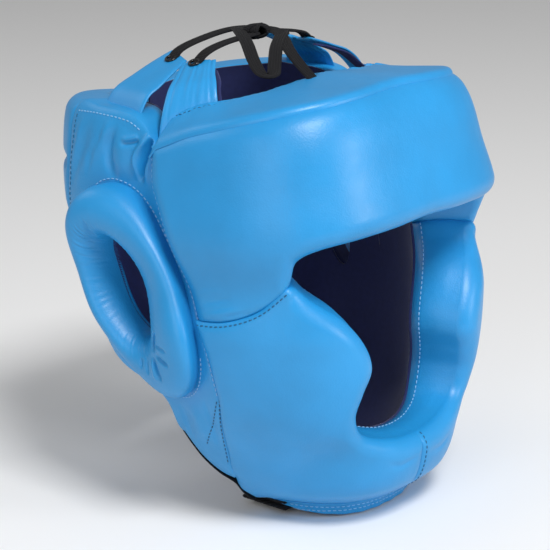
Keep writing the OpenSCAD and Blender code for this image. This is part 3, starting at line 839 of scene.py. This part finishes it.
def tube(name, line, radius_mm, kind, sides=10):
    """A closed round cord along a 3D line."""
    tangent = np.gradient(line, axis=0)
    side = np.cross(tangent, [0, 0, 1.0])
    side /= np.linalg.norm(side, axis=1, keepdims=True)
    up = np.cross(side, tangent)
    up /= np.linalg.norm(up, axis=1, keepdims=True)
    turn = np.linspace(0, 2 * math.pi, sides, endpoint=False)[:, None, None]
    rings = line + (side * np.cos(turn) + up * np.sin(turn)) * radius_mm * MM
    n = len(line)
    faces = [(k * n + i, k * n + i + 1, (k + 1) % sides * n + i + 1, (k + 1) % sides * n + i)
             for k in range(sides) for i in range(n - 1)]
    faces += [tuple(k * n for k in range(sides)), tuple(k * n + n - 1 for k in reversed(range(sides)))]
    return new_piece(name, rings, faces, kind)


class HEADGEAR_OT_edgings(bpy.types.Operator):
    """Piping along the forehead's welt and the webbing that binds the jaw's lower edge"""

    bl_idname = "headgear.edgings"
    bl_label = "Edgings"

    def execute(self, context):
        angle, z = along(WELT, np.linspace(0.012, 0.988, 420)).T
        line = place(angle, z + 0.4, radius(angle, z, OUTER) - 3.4)
        settle(tube("welt_piping", line, 1.2, "leather"), "shell", "shell_leather")
        angle, z = along([(-84, -76), (-80.5, -87), (-74, -102), (-67, -112), (-60, -118), (-57, -127),
                          (-53, -133)], np.linspace(0, 1, 120)).T
        shell = radius(angle, z, OUTER) - side_dip(angle, z)
        edges = [place(angle, z - 2.4, shell - inset) for inset in (4.5, 22)]
        for side, sign in SIDES:
            binding = new_band(f"jaw_webbing_{side}", *(flipped(edge, sign) for edge in edges[::sign]),
                               1.9 * MM, "webbing")
            settle(binding, "shell", "webbing")
        return {"FINISHED"}


class HEADGEAR_OT_linings(bpy.types.Operator):
    """Suede lining of every pad"""

    bl_idname = "headgear.linings"
    bl_label = "Linings"

    def execute(self, context):
        thick = context.scene.headgear_sizes.lining / MM

        def layers(angle, z, level, closed=False):
            """The lining's body and its inner face, over the head space."""
            r = radius(angle, z, INNER)
            inner = place(angle, level, r)
            return body_between(place(angle, level, r + thick), inner, closed), inner

        angle, z = np.moveaxis(forehead_grid(120, 40), -1, 0)
        body, inner = layers(angle, z, raised_top(angle, z))
        piece = new_piece("forehead_suede", *body, "lining")
        settle(piece, "shell", "lining_suede", "forehead_lining")
        for name, grid, closed, part in (("cheek", cheek_grid(90, 70), False, "shell"),
                                         ("side", side_grid(200, 24), True, "shell"),
                                         ("rear", rear_grid(30, 50), False, "rear_panel")):
            body, inner = layers(grid[..., 0], grid[..., 1], grid[..., 1], closed)
            both_sides(f"{name}_suede", *body, "lining", (f"{name}_lining",), "lining_suede",
                       body=part, sheet=inner)
        return {"FINISHED"}


# --- straps and lace ----------------------------------------------------------------------


def band_grids(edge_a, edge_b, thick, across=14):
    """Upper and lower face of a flat band between two 3D edges, a little thinner at its edges."""
    v = np.linspace(0, 1, across + 1)[:, None, None]
    middle = edge_a[None] * (1 - v) + edge_b[None] * v
    up = np.cross(np.gradient(middle, axis=1), np.broadcast_to((edge_b - edge_a)[None], middle.shape))
    up /= np.maximum(np.linalg.norm(up, axis=-1, keepdims=True), 1e-12)
    half = up * (thick / 2) * (1 - 0.35 * (2 * v - 1) ** 6)
    return middle + half, middle - half


def new_band(name, edge_a, edge_b, thick, kind):
    """A flat band between two 3D edges."""
    top, low = band_grids(edge_a, edge_b, thick)
    piece = new_piece(name, *body_between(top, low, bulge=thick / MM / 2, rims=5), kind)
    return piece


def over_crown(points, count=60):
    """A 3D line over the crown through (x, y, lift) points."""
    p = along(points, np.linspace(0, 1, count))
    return MM * np.stack([p[:, 0], p[:, 1], crown(p[:, 0], p[:, 1]) + p[:, 2]], -1)


# Edges of the crown straps on the wearer's right as (x, y, lift); their outer ends lie in the pads
REAR_STRAP_LOW = [(-88, 45.5, -8), (-82, 42, -0.5), (-76.4, 39.6, 3), (-66, 35.4, 3), (-54, 31.9, 3),
                  (-40, 28.7, 3)]
REAR_STRAP_HIGH = [(-93, 9.6, -10), (-88, 9.2, -2), (-82, 8.5, 3), (-73.6, 7.2, 3), (-63, 7.5, 3),
                   (-50, 8.4, 3)]
FRONT_STRAP_REAR = [(-91, -9, -12), (-86.5, -7.7, -3), (-76.4, -3.5, 3), (-65.4, 1.1, 3), (-51.5, 8, 2.4)]
FRONT_STRAP_FRONT = [(-68, -33, -9), (-66, -30, -1), (-61, -25, 3), (-54.7, -18.5, 3), (-44.4, -10, 3)]
EYELETS = [(-52, -1), (-51, 19)]


class HEADGEAR_OT_crown_straps(bpy.types.Operator):
    """Four leather straps that hold the crown, folded over at their free ends"""

    bl_idname = "headgear.crown_straps"
    bl_label = "Crown straps"

    def execute(self, context):
        rng = np.random.default_rng(4)
        for name, *edges in (("crown_rear_strap", REAR_STRAP_LOW, REAR_STRAP_HIGH),
                             ("crown_front_strap", FRONT_STRAP_FRONT, FRONT_STRAP_REAR)):
            edges = [over_crown(edge) for edge in edges]
            for side, sign in SIDES:
                top, low = band_grids(*(flipped(edge, sign) for edge in edges[::sign]), 2.6 * MM, 40)
                u = np.linspace(0, 1, top.shape[1])[None]
                v = np.linspace(0, 1, top.shape[0])[:, None]
                # Creases of seven widths, and the grooves of the two rows of stitches
                wave = sum(k * np.sin(f * v + p + 0.8 * np.sin(6 * u + p)) for f, p, k in zip(
                    rng.uniform(9, 60, 7), rng.uniform(0, 6, 7), (0.3, 0.25, 0.2, 0.16, 0.12, 0.1, 0.1)))
                groove = -0.7 * (bell(v - 0.09, 0.03) + bell(v - 0.91, 0.03))
                top = top + np.array([0, 0, MM]) * (wave * np.sin(np.pi * v) * 0.45 + groove)[..., None]
                piece = new_piece(f"{name}_leather_{side}", *body_between(top, low, bulge=1.2, rims=5),
                                  "leather")
                settle(piece, "shell", "shell_leather", f"{name}_{side}")
        # Doubled ends of the front straps, with the suede layer under them
        edges = [over_crown([(-67, -30, -6), (-59, -22, -1), (-53, -17, 0), (-46, -10, 0)]),
                 over_crown([(-67, -36, -4), (-62, -30, 0), (-57, -26, 1.5), (-49.8, -17.2, 1.2)])]
        for side, sign in SIDES:
            piece = new_band(f"crown_strap_backing_{side}", *(flipped(edge, sign) for edge in edges[::sign]),
                             1.4 * MM, "lining")
            settle(piece, "shell", "lining_suede")
        return {"FINISHED"}


def ribbon(name, line, width, thick, normals=None):
    """Flat ribbed braid along a 3D line; normals are its upper side."""
    tangent = np.gradient(line, axis=0)
    tangent /= np.linalg.norm(tangent, axis=1, keepdims=True)
    side = np.cross(np.broadcast_to((0, 0, 1.0) if normals is None else normals, line.shape), tangent)
    side /= np.linalg.norm(side, axis=1, keepdims=True)
    v = np.linspace(-1, 1, 33)[:, None, None]
    half = np.cross(tangent, side) * (thick / 2 * (1 - 0.5 * v**8) + 0.22 * MM * np.cos(5 * math.pi * v))
    middle = line + side * v * width / 2
    piece = new_piece(name, *body_between(middle - half, middle + half, bulge=thick / MM / 3, rims=3), "lace")
    return piece


class HEADGEAR_OT_crown_lace(bpy.types.Operator):
    """Eyelets, the flat lace through them, and its knot with a hanging loop"""

    bl_idname = "headgear.crown_lace"
    bl_label = "Crown lace"

    def execute(self, context):
        width, thick = 7.5 * MM, 1.5 * MM
        (front_x, front_y), (rear_x, rear_y) = EYELETS
        half_run = [(front_x, front_y, 3), (-44, front_y - 1, 6), (-30, -2, 5.4), (-14, -5, 5.2), (-3, -6, 5.6)]
        # Each length of lace as (x, y, lift), with how it ends, lies and how finely it is drawn
        runs = (
            ("lace_rear", "object", "taut", 90,
             [(rear_x, rear_y, 3), (-44, rear_y, 6), (-22, rear_y - 1, 5.2), (0, rear_y - 2, 5.2),
              (22, rear_y - 1, 5.2), (44, rear_y, 6), (-rear_x, rear_y, 3)]),
            ("lace_right", "object", "taut", 90, half_run),
            ("lace_left", "object", "taut", 90, [(-x, y, lift) for x, y, lift in half_run]),
            ("lace_loop", "object", "loose", 160,
             [(-2, 10, 6.4), (-10, 0, 6.6), (-20, -14, 5), (-30, -28, 1), (-35, -39, -2.2), (-30.5, -43, -3),
              (-23, -38, -0.5), (-12, -30, 4), (0, -23, 6.4), (10, -16, 6.4), (12, -6, 6)]),
            ("lace_tail", "bare", "loose", 90,
             [(8, -10, 7), (2, -22, 6.6), (-8, -36, 4), (-13, -50, -0.5), (-15, -62, -4.6), (-15, -66, -6.5)]),
        )
        for name, far_end, lay, count, points in runs:
            piece = ribbon(name, over_crown(points, count), width, thick)
            settle(piece, "shell", "lace", *(("crown_lace",) if name == "lace_rear" else ()))
        # The knot: three small loops of lace over each other
        t = np.linspace(0, 2 * math.pi, 60)
        x, z = 6.2 * np.cos(t), 3.4 * np.sin(t)
        height = crown(0, -6) + 6.6
        for k, (mid_x, mid_y, turn) in enumerate(((0, -5, 0.4), (1, -6, 2.0), (-1, -4, 2.7))):
            line = MM * np.stack([mid_x + x * math.cos(turn), mid_y + x * math.sin(turn) + 0.4 * t,
                                  height + z], -1)[::-1]
            piece = ribbon(f"knot_turn_{k + 1}", line, 6.4 * MM, thick,
                           line - MM * np.array([mid_x, mid_y, height]))
            settle(piece, "shell", "lace", *(() if k else ("crown_knot",)))
        bpy.ops.object.select_all(action="DESELECT")
        eyelets = []
        for _, sign in SIDES:
            for x, y in EYELETS:
                bpy.ops.mesh.primitive_torus_add(
                    major_radius=3.1 * MM, minor_radius=0.9 * MM, major_segments=36, minor_segments=12,
                    location=MM * Vector((sign * x, y, crown(x, y) + 4.6)), rotation=(0.02, -sign * 0.34, 0))
                bpy.ops.object.transform_apply(location=True, rotation=True, scale=True)
                bpy.ops.object.shade_smooth()
                context.object.data.materials.append(material("eyelet"))
                eyelets.append(context.object)
        for eyelet in eyelets:
            eyelet.select_set(True)
        context.view_layer.objects.active = eyelets[0]
        bpy.ops.object.join()
        eyelets[0].name = "lace_eyelets"
        settle(eyelets[0], "shell", "eyelet", "crown_eyelets")
        return {"FINISHED"}


class HEADGEAR_OT_rear_closure(bpy.types.Operator):
    """The wide rear strap from the left panel, with hook tape that closes on the right panel"""

    bl_idname = "headgear.rear_closure"
    bl_label = "Rear closure"

    def execute(self, context):
        low, high = -17.0, 29.0
        height = np.linspace(low, high, 40)[:, None]
        edge = np.minimum(height - low, high - height)
        # The strap lies on its own panel and then rises over the tapes; it is ribbed, with sewn edges
        angle = np.linspace(150, 218, 90)[None]
        rise = eased((angle - 150) / 14)
        ease = np.clip((angle - 150) / 14, 0, 1)
        woven = 0.07 * np.cos(height * 2.1) - 0.5 * bell(edge - 2.6, 0.6)
        plans = [("rear_strap_webbing", angle, height, 3.05 * rise + 0.3 * (1 - ease), 1.9, woven, "webbing")]
        # The tapes are flat and narrower than the strap
        narrow = np.linspace(low + 3, high - 3, 40)[:, None]
        for name, start, end, lift in (("rear_loop_tape", 186, 222, 0.1), ("rear_hook_tape", 194, 216, 1.8)):
            plans.append((name, np.linspace(start, end, 90)[None], narrow, lift, 1.2, 0, "tape"))
        made = []
        for name, angle, z, lift, thick, woven, kind in plans:
            outer = surface(angle + 0 * z, z, 1, lift + thick + woven)
            inner = surface(angle + 0 * z, z, 1, lift)
            made.append(new_piece(name, *body_between(outer, inner, bulge=thick / 2), kind))
        strap, loop_tape, hook_tape = made
        tuple(surface(162.0, 6.0, 1, 4.0))
        tuple(surface(168.0, 6.0, 1, 4.0))
        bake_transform(strap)
        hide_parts("rear_strap_end", "rear_strap")
        settle(loop_tape, "rear_panel_right", "hook_and_loop", "rear_loop_patch")
        settle(hook_tape, "rear_strap", "hook_and_loop", "rear_hook_patch")
        return {"FINISHED"}


class HEADGEAR_OT_chin(bpy.types.Operator):
    """Flap under the chin and the chin strap behind it"""

    bl_idname = "headgear.chin"
    bl_label = "Chin flap and strap"

    def execute(self, context):
        # Flap: folded leather that hangs from the cheek pads' lower edge
        angle = np.linspace(-44, 40, 120)[None]
        v = np.linspace(0, 1, 30)[:, None]
        z = -133.6 - 9.0 * (1 - (np.abs(angle + 2) / 46) ** 3) * v
        r = radius(angle, -134.0, OUTER) - 6.5 - 4.5 * v - 1.2 * np.sin(np.pi * v)
        outer = place(angle, z, r + 0.3 * np.sin(angle * 0.9) * v)
        inner = place(angle, z + 0.8 * v, r - 3.2 - 2.5 * v)
        flap = new_piece("chin_flap_leather", *body_between(outer, inner, bulge=1.2, rims=5), "leather")
        settle(flap, "shell", "shell_leather", "chin_flap")

        def band(name, x_ends, z_ends, kind, inset=0, count=110, bulge=None, rise=0):
            """A ribbed band across the chin between two x and two heights, narrower by the inset."""
            x = np.linspace(*x_ends, count)[None]
            y = np.linspace(-63 + inset, -29 - inset, 30)[:, None]
            rib = 0.12 * np.cos(y * 2.4) + (rise and rise * eased((x - 50) / 8))
            top, low = (MM * np.stack(np.broadcast_arrays(x, y, z + rib), -1) for z in z_ends[::-1])
            bulge = (z_ends[1] - z_ends[0]) / 3 if bulge is None else bulge
            made = new_piece(name, *body_between(top, low, bulge=bulge, rims=3), kind)
            return made

        settle(band("chin_loop_webbing", (-52, -18), (-136.7, -134.8), "tape"), "shell", "hook_and_loop",
               "chin_loop_tab")
        settle(band("chin_hook_tape", (-49, -24), (-139.05, -137.2), "tape", 3), "chin_strap",
               "hook_and_loop", "chin_hook_patch")
        # The strap rises to the left cheek pad over its last centimetre
        webbing = band("chin_webbing", (-52, 62), (-141.0, -139.1), "webbing", 0, 160, 0.6, 4.4)
        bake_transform(webbing)
        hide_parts("chin_strap", "chin_strap_end")
        return {"FINISHED"}


# --- stitches -----------------------------------------------------------------------------


def skin(*names):
    """Search tree over the faces of some pieces."""
    vertices, faces = [], []
    for name in names:
        mesh = bpy.data.objects[name].data
        first = len(vertices)
        vertices += [v.co.copy() for v in mesh.vertices]
        faces += [[first + k for k in p.vertices] for p in mesh.polygons]
    return BVHTree.FromPolygons(vertices, faces)


def drape(tree, points, directions):
    """Where rays from the points first meet a surface, with its normals there; misses are left out."""
    found = []
    for point, direction in zip(points, directions):
        place_hit, normal, _, _ = tree.ray_cast(Vector(point), Vector(direction), 0.08)
        if place_hit is not None:
            found.append((place_hit[:], normal[:]))
    return np.array([f[0] for f in found]), np.array([f[1] for f in found])


def seam_line(tree, path, sign=1, count=0):
    """A line on the pads through (angle, height) points, dropped on them from outside."""
    angle, z = along(path, np.linspace(0, 1, count or 40 * (len(path) - 1))).T
    start = flipped(place(angle, z, radius(angle, z, OUTER) + 26), sign)
    inward = -start * np.array([1, 1, 0])
    inward /= np.linalg.norm(inward, axis=1, keepdims=True)
    return drape(tree, start, inward)


# A stitch's rings: place along it, and thickness and rise in thread radii
STITCH_RINGS = ((0.0, 0.3, -0.6), (0.12, 0.85, 0.0), (0.5, 1.0, 0.35), (0.88, 0.85, 0.0), (1.0, 0.3, -0.6))
STITCH_SIDES = 6


def stitches(line, normals, thread):
    """Vertices of a row of stitches, each a short thread pulled into the leather."""
    sizes = bpy.context.scene.headgear_sizes
    gaps = np.linalg.norm(np.diff(line, axis=0), axis=1)
    reach = np.concatenate([[0], np.cumsum(gaps)])
    vertices = []
    for s in np.arange(sizes.stitch_step * 0.3, reach[-1] - sizes.stitch, sizes.stitch_step):
        a, b, up = (np.array([np.interp(t, reach, values[:, k]) for k in range(3)]) for t, values in (
            (s, line), (s + sizes.stitch, line), (s + sizes.stitch / 2, normals)))
        tangent = (b - a) / max(np.linalg.norm(b - a), 1e-9)
        up -= tangent * (up @ tangent)
        up /= max(np.linalg.norm(up), 1e-9)
        side = np.cross(tangent, up)
        for t, size, lift in STITCH_RINGS:
            for turn in np.arange(STITCH_SIDES) * 2 * math.pi / STITCH_SIDES:
                vertices.append(a + (b - a) * t + up * thread * lift
                                + (side * math.cos(turn) + up * math.sin(turn)) * thread * size)
    return vertices


def new_stitches(name, rows, kind, slot, thread):
    """One piece of thread that holds all the given rows of stitches."""
    vertices = [v for line, normals in rows if len(line) > 2 for v in stitches(line, normals, thread)]
    faces = []
    size, last = STITCH_SIDES * len(STITCH_RINGS), STITCH_SIDES * (len(STITCH_RINGS) - 1)
    for first in range(0, len(vertices), size):
        for low in range(first, first + last, STITCH_SIDES):
            for k in range(STITCH_SIDES):
                m = (k + 1) % STITCH_SIDES
                faces.append((low + k, low + m, low + STITCH_SIDES + m, low + STITCH_SIDES + k))
        faces.append(tuple(first + k for k in range(STITCH_SIDES)))
        faces.append(tuple(first + last + k for k in reversed(range(STITCH_SIDES))))
    settle(new_piece(name, vertices, faces, kind), "shell", slot)


def moved(path, angle=0.0, height=0.0):
    """A path shifted by an angle and a height."""
    return [(a + angle, z + height) for a, z in path]


def ring_seam():
    """(angle, height) points just outside the ear ring's edge, where it is clear of the front seam."""
    angle, z, _ = ring_points(np.linspace(0, 2 * math.pi, 300), np.zeros(300))
    angle = angle.mean() + (angle - angle.mean()) * 1.035
    z = z.mean() + (z - z.mean()) * 1.03
    clear = angle < seam_angle(z) - 3
    first = np.flatnonzero(clear & ~np.roll(clear, 1))[0]
    order = np.roll(np.arange(300), -first)
    order = order[clear[order]]
    return np.stack([angle[order], z[order]], -1)


def opening_seam(cheek, sign):
    """A line on a cheek pad's wall round the face opening, with its normals."""
    angle, z = along(CHEEK_TOP[3:], np.linspace(0, 1, 500)).T
    middle = flipped(place(angle, z, radius(angle, z, INNER) + 6.5), sign)
    out = np.cross(np.gradient(middle, axis=0), middle * np.array([1, 1, 0])) * sign
    out /= np.linalg.norm(out, axis=1, keepdims=True)
    hits = [drape(cheek, middle - away * 0.012, away) for away in (out, -out)]
    return max(hits, key=lambda hit: len(hit[0]))


def top_seam(top):
    """The row of topstitches along the top panel's inner edge, with its normals."""
    upper = top_panel_grids()[0]
    share = np.clip(1 - 4.2 * MM / np.maximum(np.linalg.norm(upper[-1] - upper[0], axis=1), 1e-6), 0, 1)
    v = even_edge(len(upper) - 1)
    line = np.array([[np.interp(share[k], v, upper[:, k, c]) for c in range(3)]
                     for k in range(4, upper.shape[1] - 4)])
    return drape(top, line + [0, 0, 0.02], np.broadcast_to([0, 0, -1.0], line.shape))


class HEADGEAR_OT_stitching(bpy.types.Operator):
    """The visible seams' thread"""

    bl_idname = "headgear.stitching"
    bl_label = "Stitching"

    def execute(self, context):
        # Seams in the light thread carry a painted highlight, seams in the dark thread painted shade
        light, dark = [], []
        for side, sign in SIDES:
            panel, cheek = skin(f"side_panel_{side}"), skin(f"cheek_pad_{side}")
            pads = skin("forehead_pad", f"cheek_pad_{side}")
            both = skin(f"side_panel_{side}", f"ear_ring_{side}", "forehead_pad", f"cheek_pad_{side}")
            light += [
                # In thread lightened as a painted highlight: forehead and cheek pads to the side panel, the
                # ring, and the panel's top edge
                seam_line(both, moved(EAR_SEAM, 0.35), sign),
                seam_line(both, moved(JAW_SEAM[3:], -0.5), sign),
                seam_line(panel, ring_seam(), sign, 600),
                seam_line(panel, [(-122, 99), (-111, 100.5), (-97, 99), (-90, 94)], sign),
                opening_seam(cheek, sign),
            ]
            dark += [
                # In thread darkened as painted shade: the side panel's rear seam, the gusset at the jaw, the
                # cheek's top edge and the chin
                seam_line(panel, [(-121.5, 98), (-121.6, 80), (-121.8, 50), (-122, 10), (-122, -40)], sign),
                seam_line(panel, [(-61.2, -57), (-63.9, -74.6), (-68.5, -93)], sign),
                seam_line(both, [(-60.4, -56), (-61.2, -78), (-60.8, -106)], sign),
                seam_line(pads, moved(CHEEK_TOP[:4], 0, -2.2), sign),
                seam_line(pads, moved(CHIN_SEAM, 1.4)),
            ]
        flap = skin("chin_flap_leather")
        light += [seam_line(flap, [(angle, height) for angle in (-38, -20, 0, 18, 34)])
                  for height in (-136.4, -139.4)]
        dark.append(top_seam(skin("forehead_top")))
        thread = context.scene.headgear_sizes.thread / 2
        new_stitches("seam_thread", light, "thread", "shell_leather", thread)
        # The thread darkened as painted shade is drawn a little thicker, so that it shows
        new_stitches("topstitch_thread", dark, "dark_thread", "lining_suede", 1.12 * thread)
        return {"FINISHED"}


class HEADGEAR_OT_finishes(bpy.types.Operator):
    """Finishes of the parts that keep their shape from the frame"""

    bl_idname = "headgear.finishes"
    bl_label = "Finishes"

    def execute(self, context):
        kinds = {"shell_leather": "leather", "lining_suede": "lining", "pad_foam": "lining",
                 "webbing": "webbing", "hook_and_loop": "tape", "lace": "lace", "eyelet": "eyelet"}
        for part in frame["record"]["subparts"]:
            shown = frame["nodes"][part["node"]]
            if not shown.hide_render:
                shown.data.materials.clear()
                shown.data.materials.append(material(kinds[part["material_slot"]]))
        return {"FINISHED"}


class HEADGEAR_OT_stage(bpy.types.Operator):
    """Floor, lights and camera"""

    bl_idname = "headgear.stage"
    bl_label = "Stage"

    def execute(self, context):
        bpy.ops.object.select_all(action="DESELECT")
        bpy.ops.mesh.primitive_plane_add(size=12, location=(0, 0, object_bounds()[0][2] - 0.001))
        floor = context.object
        floor.name = "floor"
        floor.data.materials.append(new_material(
            "studio_sweep", {"Base Color": linear("#F2F2F2"), "Roughness": 0.9}))
        floor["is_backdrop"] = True

        # The camera looks at a point a little beside and below the origin, over this picture width
        azimuth, elevation, roll = (math.radians(a) for a in (-48, 16, -1.5))
        distance, width = 1.2, 0.34375
        back = Vector((math.sin(azimuth) * math.cos(elevation),
                       -math.cos(azimuth) * math.cos(elevation), math.sin(elevation)))
        side = Vector((math.cos(azimuth), math.sin(azimuth), 0))
        camera = bpy.data.objects.new("camera", bpy.data.cameras.new("camera"))
        context.scene.collection.objects.link(camera)
        camera.location = back * distance
        camera.rotation_mode = "QUATERNION"
        target = side * 0.0106 - back.cross(side) * 0.015
        camera.rotation_quaternion = (target - camera.location).to_track_quat("-Z", "Y")
        camera.rotation_quaternion.rotate(Quaternion(back, roll))
        camera.data.sensor_width = 36
        camera.data.lens = camera.data.sensor_width * distance / width
        camera.data.clip_end = 50
        context.scene.camera = camera

        # The key stands high in front; the floor near the headgear takes most of the fill
        for name, position, size, power in (
                ("key", (-0.45, -1.3, 1.85), 0.7, 40), ("glint", (0.5, -1.6, 0.5), 0.35, 7),
                ("side", (-1.9, -0.5, 0.7), 1.2, 8), ("back", (-0.8, 1.7, 1.5), 1.0, 6)):
            light = bpy.data.lights.new(name, "AREA")
            light.size, light.energy = size, power
            lamp = bpy.data.objects.new(name, light)
            context.scene.collection.objects.link(lamp)
            lamp.location = position
            lamp.rotation_euler = (-Vector(position)).to_track_quat("-Z", "Y").to_euler()
        context.scene.view_settings.view_transform = "Standard"
        world = context.scene.world = bpy.data.worlds.new("studio")
        world.use_nodes = True
        sky = world.node_tree.nodes["Background"].inputs
        sky["Color"].default_value = linear("#E4E4E4")
        sky["Strength"].default_value = 0.38
        return {"FINISHED"}


class HEADGEAR_PT_panel(bpy.types.Panel):
    """The headgear's pieces, in the order they are made"""

    bl_label = "Headgear"
    bl_idname = "HEADGEAR_PT_panel"
    bl_space_type = "VIEW_3D"
    bl_region_type = "UI"
    bl_category = "Headgear"

    def draw(self, context):
        for group in (context.scene.headgear_sizes, context.scene.headgear_colours):
            for name in group.bl_rna.properties.keys():
                if name not in ("rna_type", "name"):
                    self.layout.prop(group, name)
        for made in MAKERS:
            self.layout.operator(made.bl_idname)


MAKERS = (
    HEADGEAR_OT_forehead_pad,
    HEADGEAR_OT_top_panel,
    HEADGEAR_OT_cheek_pads,
    HEADGEAR_OT_side_panels,
    HEADGEAR_OT_ear_rings,
    HEADGEAR_OT_rear_panels,
    HEADGEAR_OT_linings,
    HEADGEAR_OT_edgings,
    HEADGEAR_OT_crown_straps,
    HEADGEAR_OT_crown_lace,
    HEADGEAR_OT_rear_closure,
    HEADGEAR_OT_chin,
    HEADGEAR_OT_stitching,
    HEADGEAR_OT_finishes,
    HEADGEAR_OT_stage,
)
CLASSES = (HeadgearSizes, HeadgearColours, *MAKERS, HEADGEAR_PT_panel)


def register():
    for made in CLASSES:
        bpy.utils.register_class(made)
    bpy.types.Scene.headgear_sizes = bpy.props.PointerProperty(type=HeadgearSizes)
    bpy.types.Scene.headgear_colours = bpy.props.PointerProperty(type=HeadgearColours)


def unregister():
    del bpy.types.Scene.headgear_colours
    del bpy.types.Scene.headgear_sizes
    for made in reversed(CLASSES):
        bpy.utils.unregister_class(made)


def main():
    """Makes every piece and the stage."""
    register()
    for made in MAKERS:
        group, name = made.bl_idname.split(".")
        getattr(getattr(bpy.ops, group), name)()


if __name__ == "__main__":
    main()
